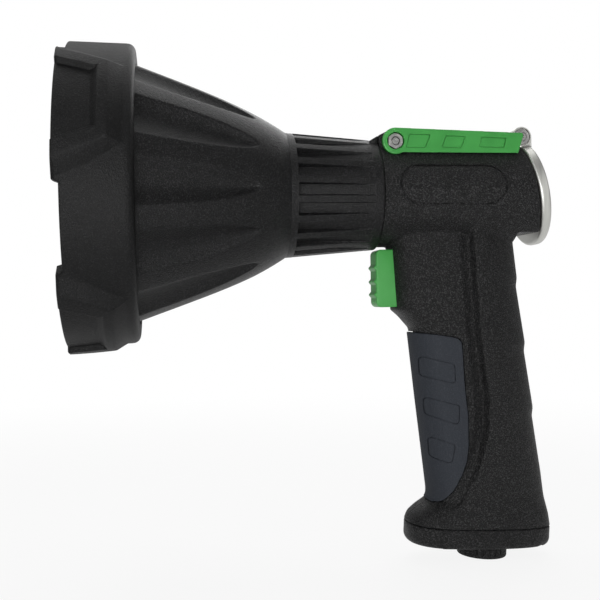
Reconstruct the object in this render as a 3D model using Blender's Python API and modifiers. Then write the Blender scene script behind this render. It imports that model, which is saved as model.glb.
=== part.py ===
"""A handheld searchlight: fluted head in a bumper ring, pistol handle, and a hinged arm that carries a foot.

The lamp is drawn in its own frame. X runs along the barrel to the rear, Z is up, and the near side is -Y.
The empty lamp_origin carries that frame and sets the world's origin in the middle of the lamp's underside.
Metres throughout.
"""

import math

import bmesh
import bpy
import numpy as np
from mathutils import Matrix, Vector

# Sizes.

# Fits between pieces
CLEARANCE = 0.0003
PLAY = 0.0005
OVERRUN = 0.003

# Fineness of round shapes
RING_STEPS = 64
TUBE_STEPS = 48
SMALL_STEPS = 20
FINE_STEPS = 32

# Barrel: the cone ends where the neck starts
NECK_FRONT = -0.0080
NECK_LENGTH = 0.0453
NECK_STEP = 0.0014
NECK_TAPER = 0.0036
CONE_LEDGE = 0.0003
CONE_SHARES = ((0.0, 0.0), (0.22, 0.183), (0.413, 0.349), (0.58, 0.500), (0.741, 0.667), (0.87, 0.82),
    (1.0, 1.0))
HEAD_WALL = 0.0052
FLUTE_COUNT = 12
FLUTE_DEPTH = 0.0032
FLUTE_LENGTH_SHARE = 0.848
FLUTE_WIDTH_SHARE = 0.65
FLUTE_TAPER = 0.42
FLUTE_FADE_SHARE = 1.05
FLUTE_PLACE_SHARES = (-1.0, -0.55, 0.0, 0.55, 1.0)
FLUTE_STATION_SHARES = (0.0, 0.18, 0.36, 0.53, 0.68, 0.80, 0.89, 0.95, 0.985)
SLOT_COUNT = 20
SLOT_WIDTH = 0.0053
SLOT_SETBACK = 0.0037
SLOT_LENGTH = 0.0369
SLOT_FADE = 0.0002
NECK_WALL = 0.0039
COLLAR_LENGTH = 0.0199
COLLAR_WALL = 0.0048
SPIGOT_WALL = 0.0028

# Bezel
BEZEL_RADIUS = 0.0724
BEZEL_DRAFT = 0.0006
BEZEL_LENGTH = 0.0307
BEZEL_GAP = 0.0004
BEZEL_WALL = 0.0096
BEZEL_REAR_ROUND = 0.0036
BEZEL_EDGE = 0.0009
LIP_LENGTH = 0.0032
LIP_DEPTH = 0.0048
MOUTH_FLARE = 0.0055
LUG_COUNT = 4
LUG_TURN = math.radians(28)
LUG_HEIGHT = 0.0044
LUG_REACH = 0.0028
LUG_SLOPE = 0.0066
LUG_TAIL_SHARE = 0.02
LUG_SECTION_SHARES = (
    (0.0, 23.2 / 90, 31.6 / 90),
    (0.20, 21.4 / 90, 28.0 / 90),
    (0.45, 18.6 / 90, 24.6 / 90),
    (0.76, 15.6 / 90, 20.3 / 90),
    (1.0, 12.0 / 90, 17.0 / 90),
)
POCKET_LENGTH = 0.0155
POCKET_RAMP = 0.0031
POCKET_DEPTH = 0.0025
POCKET_FRONT_SHARE = 17.2 / 90
POCKET_REAR_SHARE = 12.4 / 90

# Optics
LENS_THICKNESS = 0.0030
SEAL_THICKNESS = 0.0015
SEAL_WIDTH = 0.0045
FLANGE_THICKNESS = 0.0015
REFLECTOR_DEPTH = 0.0756
REFLECTOR_OVERHANG = 0.0037
REFLECTOR_WALL = 0.0012
REFLECTOR_HOLE = 0.0062
EMITTER_WIDTH = 0.0070
EMITTER_HEIGHT = 0.0022
BOARD_RADIUS = 0.0120
BOARD_THICKNESS = 0.0016
SINK_STEP = 0.0010
SINK_PLATE = 0.0040
SINK_SETBACK = 0.0100
SINK_CORE_RADIUS = 0.0090
SINK_LENGTH = 0.0360
FIN_COUNT = 4
FIN_THICKNESS = 0.0014

# Body
TUBE_RADIUS = 0.0260
TUBE_LENGTH = 0.0770
TUBE_WALL = 0.0024
TUBE_SLANT = math.radians(10)
TUBE_FLAT_DEPTH = 0.0060
REAR_BLOCK = 0.0130
RECESS_SETBACK = 0.0073
RECESS_LENGTH = 0.0539
RECESS_HEIGHT = 0.0197
RECESS_RISE = 0.0029
RECESS_GROOVE = 0.0011
RECESS_DEPTH = 0.0006

# Pistol handle
GRIP_SETBACK = 0.0084
GRIP_DEPTH = 0.0640
GRIP_DROP = 0.1668
GRIP_HALF_WIDTH = 0.0200
GRIP_WALL = 0.0024
GRIP_MIDDLE_SHARE = 0.67
GRIP_TOP_SHARE = 0.065
GRIP_END_SHARE = 1.06
HOLLOW_TOP_SHARE = 0.075
HOLLOW_END_SHARE = 1.09
CREASE_RUN = 0.0030
SEAM_TILT = math.radians(3.62)
# Drop, front, crease, front half width, rear half width, nose length, rear fullness
GRIP_SHARES = (
    (0.065, 0.011, 0.550, 0.855, 0.990, 0.22, 0.30),
    (0.165, 0.011, 0.560, 0.855, 0.985, 0.22, 0.31),
    (0.346, 0.000, 0.588, 0.850, 0.975, 0.22, 0.36),
    (0.365, 0.058, 0.590, 0.850, 0.975, 0.22, 0.37),
    (0.384, 0.100, 0.592, 0.850, 0.975, 0.22, 0.38),
    (0.402, 0.142, 0.594, 0.850, 0.975, 0.22, 0.39),
    (0.617, 0.200, 0.661, 0.850, 0.975, 0.22, 0.45),
    (0.706, 0.226, 0.656, 0.850, 0.975, 0.22, 0.48),
    (0.814, 0.257, 0.580, 0.855, 0.975, 0.22, 0.52),
    (0.890, 0.279, 0.481, 0.870, 0.975, 0.22, 0.58),
    (0.899, 0.281, 0.465, 0.880, 0.976, 0.22, 0.59),
    (0.916, 0.238, 0.440, 0.900, 0.978, 0.24, 0.62),
    (0.934, 0.180, 0.410, 0.925, 0.980, 0.26, 0.65),
    (0.951, 0.122, 0.370, 0.945, 0.985, 0.28, 0.68),
    (0.968, 0.086, 0.330, 0.965, 0.990, 0.30, 0.72),
    (0.989, 0.084, 0.310, 0.985, 0.998, 0.31, 0.76),
    (1.060, 0.084, 0.300, 1.000, 1.000, 0.31, 0.78),
)
GRIP_REAR_SHARES = ((0.065, 0.982), (0.927, 1.222), (0.977, 1.253), (1.060, 1.281))
PALM_TOP = 0.0424
PALM_PITCH = 0.0332
PALM_COUNT = 3
PALM_STEP = 0.0011
PALM_RUN = 0.0042
NOSE_POINTS = 6
NOSE_POWER = 0.9
TAIL_POWER_BASE = 0.45
TAIL_POINTS = 6

# Soft pad round the front of the handle
PAD_DEPTH = 0.0020
PAD_PROUD = 0.0008
PAD_SHARES = (
    (-0.10, 0.404),
    (0.300, 0.421),
    (0.486, 0.434),
    (0.505, 0.577),
    (0.527, 0.660),
    (0.489, 0.752),
    (0.369, 0.827),
    (0.248, 0.880),
    (0.190, 0.886),
    (-0.10, 0.894),
)

# Trigger and its switch
TRIGGER_HALF_WIDTH = 0.0070
TRIGGER_REACH = 0.0103
TRIGGER_TOP = 0.0275
TRIGGER_LENGTH = 0.0288
TRIGGER_SCALLOP = 0.0012
SCALLOP_POWER = 0.8
TRIGGER_RIBS = 4
TRIGGER_ROUND = 0.0028
TRIGGER_EDGE = 0.0010
TRIGGER_DEPTH = 0.0210
FLANGE_HALF_WIDTH = 0.0092
FLANGE_LENGTH = 0.0020
FLANGE_OVERLAP = 0.0030
SPRING_RADIUS = 0.0030
SPRING_WIRE = 0.0004
SPRING_TURNS = 5
SPRING_LENGTH = 0.0110
CURL_POINTS = 8
SWITCH_LENGTH = 0.0125
SWITCH_HEIGHT = 0.0200
SWITCH_HALF_WIDTH = 0.0060
SHELF_THICKNESS = 0.0025
SHELF_WIDTH_SHARE = 0.85

# Battery pack and control board
CELL_RADIUS = 0.0092
CELL_LENGTH = 0.0650
CELL_PITCH = 0.0198
CELL_LEAN = math.radians(6.4)
CELL_NIB = 0.0010
CELL_NIB_RADIUS_SHARE = 0.4
HOLDER_WALL = 0.0012
PACK_SHARE = 0.772
HOLDER_DEPTH = 0.0120
PCB_THICKNESS = 0.0016
PCB_SETBACK = 0.0109
PCB_DROP = 0.0090
RAIL_THICKNESS = 0.0018
RAIL_DEPTH = 0.0040

# Base cap, charging socket and plug
CAP_HEIGHT = 0.0104
CAP_ROUND = 0.0057
CAP_ROUND_SHARES = ((0.0, 0.0), (0.62, 0.0), (0.82, 0.10), (0.95, 0.28), (1.0, 0.55))
PLUG_RADIUS = 0.0125
PLUG_HEIGHT = 0.0062
PLUG_PLACE_SHARE = 0.722
PLUG_EDGE = 0.0010
PLUG_STEM_RADIUS = 0.0040
PLUG_STEM = 0.0034
SOCKET_RADIUS = 0.0046
SOCKET_HEIGHT = 0.0075
CAP_SCREW_OFFSET = 0.0075
CAP_SCREW_SHARES = (0.250, 1.138)
CAP_BOSS_HALF = 0.0034
CAP_BOSS_HEIGHT = 0.0140
CAP_BOSS_FRONT_SHARES = (-3.0, 1.0)
CAP_BOSS_REAR_SHARES = (-1.0, 1.4)

# Screws
SCREW_RADIUS = 0.0015
SCREW_HEAD_RADIUS = 0.0028
SCREW_HEAD_HEIGHT = 0.0022
SCREW_SIDE_SHARE = 0.7
SCREW_FACE_SHARE = 0.75
SCREW_LENGTH = 0.0170
SCREW_SOCKET_RADIUS = 0.0013
SCREW_SOCKET_DEPTH = 0.0013
SCREW_SEAT = 0.0095
SCREW_BOSS_RADIUS = 0.0047
CASE_SCREW_SHARES = ((0.23, 0.093), (0.80, 0.093), (0.375, 0.381), (0.905, 0.381))

# Arm and its front pivot
PIVOT_SETBACK = 0.0074
PIVOT_SINK = 0.0011
BOSS_RADIUS = 0.0065
BOSS_HALF_WIDTH = 0.0130
RAMP_ANGLE = math.radians(31)
RAMP_SINK = 0.0016
RAMP_LEAD = 0.0041
ARM_HALF_WIDTH = 0.0185
CHEEK_THICKNESS = 0.0050
ARM_TOP_SHARES = ((0.0, 1.0), (0.970, 0.692), (0.977, 0.52), (0.933, -0.92), (0.04, -0.94))
ARM_CROWN = 0.0065
CROWN_INNER_RADIUS = 0.0043
CROWN_RUN = 0.0025
WEB_START_SHARE = 0.115
WEB_END_SHARE = 0.905
PANEL_DEPTH = 0.0008
ARM_PANEL_SHARES = (
    ((0.102, 0.52), (0.264, 0.49), (0.222, -0.54), (0.096, -0.54)),
    ((0.378, 0.43), (0.531, 0.37), (0.493, -0.55), (0.342, -0.49)),
    ((0.652, 0.34), (0.844, 0.28), (0.822, -0.49), (0.630, -0.46)),
)
BOLT_RADIUS = 0.0020
BOLT_HEAD_RADIUS = 0.0035
BOLT_HEAD_HEIGHT = 0.0026
BOLT_SOCKET_RADIUS = 0.0013
NUT_FLATS = 0.0070
NUT_HEIGHT = 0.0032

# Rear hinge and foot
HINGE_RISE = 0.0025
HINGE_SETBACK = 0.0029
TONGUE_HALF_WIDTH = 0.0047
TONGUE_RADIUS = 0.0046
TONGUE_REACH = 0.0200
TONGUE_HEIGHT = 0.0038
EAR_OUTER = 0.0120
EAR_RADIUS = 0.0051
NOTCH_GAP = 0.0009
DISC_RADIUS = 0.0254
DISC_THICKNESS = 0.0052
DISC_EDGE = 0.0010
DISC_DROP = 0.0274
FOOT_NECK_SHARE = 0.70
FOOT_RECESS_RADIUS = 0.0190
FOOT_RECESS_DEPTH = 0.0022
WASHER_RADIUS = 0.0041
WASHER_THICKNESS = 0.0012
WASHER_TEETH = 18
WASHER_TOOTH = 0.0003
FOOT_SCREW_RADIUS = 0.0014
FOOT_SCREW_HEAD = 0.0024
FOOT_NUT_FLATS = 0.0050
FOOT_NUT_HEIGHT = 0.0016

# Places that follow from the sizes.

neck_rear = NECK_FRONT + NECK_LENGTH
neck_rear_radius = TUBE_RADIUS + NECK_STEP
neck_front_radius = neck_rear_radius + NECK_TAPER
neck_bore_radius = neck_rear_radius - NECK_WALL
slot_floor_radius = neck_rear_radius + SLOT_FADE
cone_length = REFLECTOR_DEPTH - REFLECTOR_OVERHANG
cone_front = NECK_FRONT - cone_length
flute_length = cone_length * FLUTE_LENGTH_SHARE
bezel_rear = cone_front + BEZEL_GAP
bezel_front = bezel_rear - BEZEL_LENGTH
lug_front = bezel_front - LUG_REACH
bezel_bore = BEZEL_RADIUS - BEZEL_WALL
collar_radius = bezel_bore - CLEARANCE
collar_front = cone_front - COLLAR_LENGTH
collar_bore = collar_radius - COLLAR_WALL
cone_front_radius = collar_radius - CONE_LEDGE
reflector_rim = collar_bore - PLAY * 2 - REFLECTOR_WALL
sink_radius = neck_front_radius - SINK_STEP
lip_rear = bezel_front + LIP_LENGTH
tube_front = neck_rear + CLEARANCE
tube_rear = tube_front + TUBE_LENGTH
tube_bore = TUBE_RADIUS - TUBE_WALL
bore_end = tube_rear - REAR_BLOCK
grip_front = tube_front + GRIP_SETBACK
spigot_length = PIVOT_SETBACK - BOLT_RADIUS - PLAY * 2
grip_middle = grip_front + GRIP_DEPTH * GRIP_MIDDLE_SHARE
tube_flat = TUBE_RADIUS - TUBE_FLAT_DEPTH
pivot_x = tube_front + PIVOT_SETBACK
pivot_z = TUBE_RADIUS - PIVOT_SINK
ramp_toe = neck_rear_radius - RAMP_SINK
hinge_x = tube_rear - HINGE_SETBACK
hinge_z = TUBE_RADIUS + HINGE_RISE
arm_reach = hinge_x - pivot_x
seam_normal = Vector((math.sin(SEAM_TILT), 0, math.cos(SEAM_TILT)))

# Scene.

for old in list(bpy.data.objects):
    bpy.data.objects.remove(old, do_unlink=True)
parts = bpy.data.collections.new("handheld_searchlight")
cutters = bpy.data.collections.new("cutters")
for collection in (parts, cutters):
    bpy.context.scene.collection.children.link(collection)


def empty(name, place, parent=None, parent_place=Vector()):
    """An empty at a place in the lamp's frame, for a body that moves about it."""
    made = bpy.data.objects.new(name, None)
    made.empty_display_size = PLUG_RADIUS
    made.location = Vector(place) - parent_place
    made.parent = parent
    parts.objects.link(made)
    return made


def principled(name, colour, roughness, metallic=0.0, alpha=1.0):
    made = bpy.data.materials.new(name)
    made.use_nodes = True
    made.diffuse_color = (*colour, alpha)
    shader = made.node_tree.nodes["Principled BSDF"]
    shader.inputs["Base Color"].default_value = (*colour, 1.0)
    shader.inputs["Roughness"].default_value = roughness
    shader.inputs["Metallic"].default_value = metallic
    shader.inputs["Alpha"].default_value = alpha
    return made


# Modelling tools.


def helper(name, mesh, place=(0, 0, 0), turn=(0, 0, 0)):
    """A solid in the lamp's frame that shows only as wires until a part is made of it."""
    made = bpy.data.objects.new(name, mesh)
    made.location = place
    made.rotation_euler = turn
    made.parent = lamp
    made.hide_render = True
    made.display_type = "WIRE"
    cutters.objects.link(made)
    return made


def mesh_from(name, shape):
    shape.normal_update()
    bmesh.ops.recalc_face_normals(shape, faces=shape.faces)
    mesh = bpy.data.meshes.new(name)
    shape.to_mesh(mesh)
    shape.free()
    return mesh


def box(name, low, high, turn=(0, 0, 0), place=(0, 0, 0)):
    """A block between two corners, turned about a place."""
    shape = bmesh.new()
    bmesh.ops.create_cube(shape, size=1.0)
    low, high = Vector(low), Vector(high)
    middle = (low + high) / 2 - Vector(place)
    bmesh.ops.transform(shape, matrix=Matrix.Translation(middle) @ Matrix.Diagonal((*(high - low), 1)),
        verts=shape.verts)
    return helper(name, mesh_from(name, shape), place, turn)


CLOSE_FACED = ("body_blank", "bezel_ring_blank", "body_left_side", "body_right_side", "arm_blank")
TURNS = {"X": (0, math.pi / 2, 0), "Y": (-math.pi / 2, 0, 0), "Z": (0, 0, 0)}


def rod(name, radius, low, high, place, along="Y", steps=SMALL_STEPS, spin=0.0):
    """A cylinder, or a prism of few steps, from low to high along an axis through a place."""
    shape = bmesh.new()
    bmesh.ops.create_cone(
        shape, cap_ends=True, segments=steps, radius1=radius, radius2=radius, depth=high - low,
        matrix=Matrix.Translation((0, 0, (low + high) / 2)) @ Matrix.Rotation(spin, 4, "Z"),
    )
    return helper(name, mesh_from(name, shape), place, TURNS[along])


def turned(name, profile, steps=TUBE_STEPS, place=(0, 0, 0), turn=TURNS["X"]):
    """A solid of revolution from (along, radius) points, in either order. Ends on the axis are left open."""
    area = sum(a[0] * b[1] - b[0] * a[1] for a, b in zip(profile, profile[1:] + profile[:1]))
    points = profile[::-1] if area < 0 else profile
    closed = min(points[0][1], points[-1][1]) > 0
    mesh = bpy.data.meshes.new(name)
    edges = [(i, i + 1) for i in range(len(points) - 1)] + ([(len(points) - 1, 0)] if closed else [])
    mesh.from_pydata([(radius, 0, along) for along, radius in points], edges, [])
    made = helper(name, mesh, place, turn)
    screw = made.modifiers.new("turn", "SCREW")
    screw.axis = "Z"
    screw.angle = 2 * math.pi
    screw.steps = screw.render_steps = steps
    screw.use_merge_vertices = True
    screw.merge_threshold = CLEARANCE / 30
    return made


def plate(name, outline, low, high):
    """A flat outline of (x, z) points, made solid from y low to y high."""
    curve = bpy.data.curves.new(name, "CURVE")
    curve.dimensions = "2D"
    curve.fill_mode = "BOTH"
    curve.extrude = (high - low) / 2
    line = curve.splines.new("POLY")
    line.points.add(len(outline) - 1)
    for point, (x, z) in zip(line.points, outline):
        point.co = (x, z, 0, 1)
    line.use_cyclic_u = True
    drawn = helper(name + "_outline", curve, (0, (low + high) / 2, 0), (math.pi / 2, 0, 0))
    return as_mesh(drawn, name)


def as_mesh(drawn, name):
    """The same solid as a mesh, so that it can be cut, with the curve removed."""
    bpy.context.view_layer.update()
    mesh = bpy.data.meshes.new_from_object(drawn.evaluated_get(bpy.context.evaluated_depsgraph_get()))
    shape = bmesh.new()
    shape.from_mesh(mesh)
    bmesh.ops.remove_doubles(shape, verts=shape.verts, dist=CLEARANCE / 30)
    made = helper(name, mesh_from(name, shape), drawn.location.copy(), drawn.rotation_euler.copy())
    bpy.data.objects.remove(drawn)
    return made


def lofted(name, rings, place=(0, 0, 0), turn=(0, 0, 0)):
    """A skin over rings of as many points each, closed at both ends."""
    shape = bmesh.new()
    laid = [[shape.verts.new(point) for point in ring] for ring in rings]
    for ring, after in zip(laid, laid[1:]):
        for i in range(len(ring)):
            shape.faces.new((ring[i - 1], ring[i], after[i], after[i - 1]))
    shape.faces.new(laid[0])
    shape.faces.new(laid[-1])
    return helper(name, mesh_from(name, shape), place, turn)


def boolean(target, others, operation):
    """A blank with faces that nearly meet edge on needs the second solver to close."""
    for other in others:
        made = target.modifiers.new(other.name, "BOOLEAN")
        made.operation = operation
        made.object = other
        if target.name in CLOSE_FACED:
            made.solver = "MANIFOLD"
    return target


def cut(target, *others):
    return boolean(target, others, "DIFFERENCE")


def join(target, *others):
    return boolean(target, others, "UNION")


def common(target, *others):
    return boolean(target, others, "INTERSECT")


def bevelled(target, width, segments=2, angle=math.radians(40)):
    made = target.modifiers.new("edges", "BEVEL")
    made.width = width
    made.segments = segments
    made.limit_method = "ANGLE"
    made.angle_limit = angle
    return target


def ring_of(radius, middle=(0, 0), steps=FINE_STEPS, start=0.0, end=2 * math.pi):
    """Points on an arc. A whole circle doesn't repeat its first point."""
    last = steps if end - start > math.pi * 1.99 else steps - 1
    turns = [start + (end - start) * i / last for i in range(steps)]
    return [(middle[0] + radius * math.cos(t), middle[1] + radius * math.sin(t)) for t in turns]


def grown(outline, distance):
    """The outline moved outwards by a distance, with its corners kept sharp."""
    area = sum(a[0] * b[1] - b[0] * a[1] for a, b in zip(outline, outline[1:] + outline[:1]))
    sign = math.copysign(1.0, area)
    moved = []
    for i, point in enumerate(outline):
        before = (Vector(point) - Vector(outline[i - 1])).normalized()
        after = (Vector(outline[(i + 1) % len(outline)]) - Vector(point)).normalized()
        normal_before = Vector((before.y, -before.x)) * sign
        normal_after = Vector((after.y, -after.x)) * sign
        miter = (normal_before + normal_after).normalized()
        moved.append(tuple(Vector(point) + miter * (distance / miter.dot(normal_after))))
    return moved


BODY_PLACES = {}


def finish(target, name, material, body=None):
    """Bakes a solid with its cuts into a named part, shaded smooth, on the empty of its body."""
    bpy.context.view_layer.update()
    mesh = bpy.data.meshes.new_from_object(target.evaluated_get(bpy.context.evaluated_depsgraph_get()))
    target.modifiers.clear()
    target.data = mesh
    mesh.materials.clear()
    mesh.materials.append(material)
    mesh.shade_smooth()
    mesh.set_sharp_from_angle(angle=math.radians(32))
    target.name = mesh.name = name
    target.hide_render = False
    target.display_type = "TEXTURED"
    cutters.objects.unlink(target)
    parts.objects.link(target)
    if body is not None:
        target.parent = body
        target.matrix_parent_inverse = Matrix.Translation(-BODY_PLACES[body.name])
    return target


# Finishes.

black = principled("black_textured_plastic", (0.012, 0.012, 0.013), 0.55)
dark = principled("black_smooth_plastic", (0.014, 0.014, 0.014), 0.42)
bumper = principled("bumper_black", (0.013, 0.013, 0.014), 0.60)
green = principled("green_plastic", (0.055, 0.450, 0.070), 0.42)
slate = principled("slate_soft_rubber", (0.040, 0.051, 0.067), 0.75)
aluminium = principled("brushed_aluminium", (0.55, 0.55, 0.52), 0.32, 1.0)
steel = principled("zinc_plated_steel", (0.52, 0.52, 0.50), 0.30, 1.0)
chrome = principled("reflector_chrome", (0.80, 0.80, 0.80), 0.08, 1.0)
clear = principled("clear_lens", (0.95, 0.96, 0.96), 0.05, 0.0, 0.35)
seal_rubber = principled("seal_rubber", (0.02, 0.02, 0.02), 0.80)
board_green = principled("circuit_board", (0.01, 0.10, 0.04), 0.45)
emitter_yellow = principled("emitter_phosphor", (0.80, 0.62, 0.12), 0.35)
cell_wrap = principled("cell_wrap", (0.03, 0.10, 0.32), 0.40)
holder_grey = principled("holder_grey_plastic", (0.10, 0.10, 0.11), 0.55)
magnet_grey = principled("magnet_nickel", (0.35, 0.35, 0.34), 0.28, 1.0)

# Frame of the lamp.

plug_x = grip_front + GRIP_DEPTH * PLUG_PLACE_SHARE
plug_seam = -GRIP_DROP - (plug_x - grip_middle) * math.tan(SEAM_TILT)
plug_axis_drop = CAP_HEIGHT + PLUG_HEIGHT
plug_rim_drop = (PLUG_RADIUS - PLUG_EDGE) * math.sin(SEAM_TILT)
lamp_bottom = plug_seam - plug_axis_drop * math.cos(SEAM_TILT) - plug_rim_drop
lamp = empty("lamp_origin", (0, 0, -lamp_bottom))
arm_place = Vector((pivot_x, 0, pivot_z))
foot_place = Vector((hinge_x, 0, hinge_z))
arm_body = empty("arm_pivot", arm_place, lamp)
foot_body = empty("foot_pivot", foot_place, arm_body, arm_place)
trigger_place = Vector((grip_front, 0, -TRIGGER_TOP - TRIGGER_LENGTH / 2))
trigger_body = empty("trigger_slide", trigger_place, lamp)
plug_place = Vector((plug_x, 0, plug_seam)) - seam_normal * CAP_HEIGHT
plug_body = empty("plug_slide", plug_place, lamp)
for moving, place in ((arm_body, arm_place), (foot_body, foot_place), (trigger_body, trigger_place),
    (plug_body, plug_place)):
    BODY_PLACES[moving.name] = place


# Bezel: a bumper ring with four raised lugs.


def bezel_radius_at(x):
    return BEZEL_RADIUS - BEZEL_DRAFT * (x - bezel_front) / BEZEL_LENGTH


def bezel_ring():
    """Turned ring with a flared mouth, a lip that holds the lens, and a rounded rear corner."""
    rear_radius = bezel_radius_at(bezel_rear) - BEZEL_REAR_ROUND
    corner = [
        (bezel_rear - BEZEL_REAR_ROUND * (1 - math.sin(t)), rear_radius + BEZEL_REAR_ROUND * math.cos(t))
        for t in np.linspace(0, math.pi / 2, 5)
    ]
    profile = [
        (bezel_front, bezel_radius_at(bezel_front) - BEZEL_EDGE),
        (bezel_front + BEZEL_EDGE, bezel_radius_at(bezel_front)),
        *corner,
        (bezel_rear, bezel_bore),
        (lip_rear, bezel_bore),
        (lip_rear, bezel_bore - LIP_DEPTH),
        (lip_rear - LIP_LENGTH / 3, bezel_bore - LIP_DEPTH),
        (bezel_front, bezel_bore - LIP_DEPTH + MOUTH_FLARE),
    ]
    return turned("bezel_ring_blank", profile, RING_STEPS)


def lug_section(x, top, half_top, half_foot, base, sunk):
    """One slice of a lug, as (radius, angle): a foot on each side, and an arc between them."""
    buried = LUG_HEIGHT / 8
    half_root = half_foot + (half_foot - half_top) * buried / LUG_HEIGHT
    arc = [(top, half_top * t) for t in np.linspace(-1, 1, 7)]
    floor = [(sunk, half_root * t) for t in np.linspace(1, -1, 5)]
    outline = arc + [(base - buried, half_root)] + floor + [(base - buried, -half_root)]
    return [(x, radius * math.cos(angle), radius * math.sin(angle)) for radius, angle in outline]


def lug(turn):
    """A raised lug: its plateau narrows to the rear, its sides slope, and its rear end ramps down."""
    plateau_end = bezel_rear - BEZEL_REAR_ROUND - LUG_SLOPE - LUG_HEIGHT / 6
    sunk = bezel_bore + BEZEL_WALL / 3
    rings = []
    for place_share, top_share, foot_share in LUG_SECTION_SHARES:
        x = lug_front + (plateau_end + LUG_SLOPE - lug_front) * place_share
        lift = min(1.0, (plateau_end + LUG_SLOPE - x) / LUG_SLOPE)
        top = bezel_radius_at(x) + LUG_HEIGHT * max(lift, LUG_TAIL_SHARE)
        rings.append(lug_section(x, top, math.pi / 2 * top_share, math.pi / 2 * foot_share,
            bezel_radius_at(x), sunk))
    return lofted("lug", rings, turn=(turn, 0, 0))


def lug_pocket(turn):
    """A shallow pocket, open to the front, whose rear end ramps up to the lug's face."""
    face = BEZEL_RADIUS + LUG_HEIGHT
    ramp_end = lug_front + POCKET_LENGTH + POCKET_RAMP
    rings = []
    for x, floor, half_share in (
        (lug_front - OVERRUN, face - POCKET_DEPTH, POCKET_FRONT_SHARE),
        (lug_front + POCKET_LENGTH, face - POCKET_DEPTH - BEZEL_DRAFT / 2, POCKET_REAR_SHARE),
        (ramp_end, face, POCKET_REAR_SHARE),
    ):
        half = math.pi / 2 * half_share
        low = [(floor, half * t) for t in np.linspace(-1, 1, 5)]
        high = [(face + OVERRUN, half * t) for t in np.linspace(1, -1, 3)]
        rings.append([(x, radius * math.cos(a), radius * math.sin(a)) for radius, a in low + high])
    return lofted("lug_pocket", rings, turn=(turn, 0, 0))


# Angles here run from +Y towards +Z, so the near side's 28 degrees above level is 152.
lug_turns = [math.pi - LUG_TURN + k * 2 * math.pi / LUG_COUNT for k in range(LUG_COUNT)]
bezel = join(bezel_ring(), *[lug(turn) for turn in lug_turns])
cut(bezel, *[lug_pocket(turn) for turn in lug_turns])
finish(bezel, "bezel_ring", bumper)

# Head housing: fluted cone, slotted neck and the spigot that plugs into the body.


def cone_radius(x):
    """Outer radius of cone and neck, slightly bulged along the cone."""
    if x >= NECK_FRONT:
        return np.interp(x, (NECK_FRONT, neck_rear), (neck_front_radius, neck_rear_radius))
    along, fall = zip(*CONE_SHARES)
    drop = cone_front_radius - neck_front_radius
    return cone_front_radius - drop * np.interp((x - cone_front) / cone_length, along, fall)


def flute_spread(x):
    """Half angle of a flute: widest at the bezel, closing to a point."""
    run = (x - cone_front) / flute_length
    return math.pi / FLUTE_COUNT * FLUTE_WIDTH_SHARE * max(1 - run, 0.0) ** FLUTE_TAPER


def head_ring(x):
    """A ring of the cone with twelve concave flutes between flat ridges."""
    pitch = 2 * math.pi / FLUTE_COUNT
    spread = flute_spread(x)
    depth = FLUTE_DEPTH * min(1.0, spread / flute_spread(cone_front) * FLUTE_FADE_SHARE)
    ring = []
    for k in range(FLUTE_COUNT):
        for place in FLUTE_PLACE_SHARES:
            radius = cone_radius(x) - depth * (1 - place * place)
            angle = k * pitch + place * max(spread, pitch / 100)
            ring.append((x, radius * math.cos(angle), radius * math.sin(angle)))
        angle = (k + 0.5) * pitch
        ring.append((x, cone_radius(x) * math.cos(angle), cone_radius(x) * math.sin(angle)))
    return ring


stations = [cone_front + flute_length * t for t in FLUTE_STATION_SHARES]
cone = lofted("head_cone", [head_ring(x) for x in stations])
after = stations[-1] - CLEARANCE
sleeve = turned(
    "head_sleeve",
    [(collar_front, 0), (collar_front, collar_radius), (cone_front, collar_radius),
        (cone_front, cone_radius(cone_front) - FLUTE_DEPTH * 1.5),
     (after, cone_radius(after) - FLUTE_DEPTH), (after, cone_radius(after)), (NECK_FRONT, neck_front_radius),
     (neck_rear, neck_rear_radius), (neck_rear, tube_bore - CLEARANCE),
     (neck_rear + spigot_length, tube_bore - CLEARANCE), (neck_rear + spigot_length, 0)],
    RING_STEPS,
)
sink_seat = NECK_FRONT - SINK_SETBACK
seat_radius = sink_radius + CLEARANCE
spigot_bore = tube_bore - CLEARANCE - SPIGOT_WALL
hollow = turned(
    "head_hollow",
    [(collar_front - OVERRUN, 0), (collar_front - OVERRUN, collar_bore),
        (collar_front + COLLAR_LENGTH / 4, collar_bore),
     (cone_front - COLLAR_LENGTH / 4, cone_radius(cone_front) - HEAD_WALL),
     (cone_front, cone_radius(cone_front) - HEAD_WALL),
     *[(x, cone_radius(x) - HEAD_WALL) for x in stations[2:5:2]],
     (sink_seat - SINK_PLATE * 1.5, max(cone_radius(sink_seat - SINK_PLATE * 1.5) - HEAD_WALL, seat_radius)),
     (sink_seat - SINK_PLATE, seat_radius), (sink_seat, seat_radius),
     (sink_seat, neck_bore_radius), (neck_rear - SPIGOT_WALL, neck_bore_radius),
     (neck_rear, spigot_bore), (neck_rear + spigot_length + OVERRUN, spigot_bore),
     (neck_rear + spigot_length + OVERRUN, 0)],
)
slots = []
for k in range(SLOT_COUNT):
    low = (NECK_FRONT + SLOT_SETBACK, -SLOT_WIDTH / 2, slot_floor_radius)
    high = (NECK_FRONT + SLOT_SETBACK + SLOT_LENGTH, SLOT_WIDTH / 2, neck_front_radius + OVERRUN)
    slots.append(box("neck_slot", low, high, turn=(math.pi / 2 + k * 2 * math.pi / SLOT_COUNT, 0, 0)))
ramp_rise = math.tan(RAMP_ANGLE)
ramp_start = tube_front - CLEARANCE - RAMP_LEAD
toe = plate(
    "ramp_toe",
    [(ramp_start, ramp_toe), (neck_rear, ramp_toe + RAMP_LEAD * ramp_rise), (neck_rear, neck_bore_radius),
        (ramp_start, neck_bore_radius)],
    -BOSS_HALF_WIDTH, BOSS_HALF_WIDTH,
)
head = join(cone, sleeve)
cut(head, *slots)
join(head, toe)
cut(head, hollow)
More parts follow.
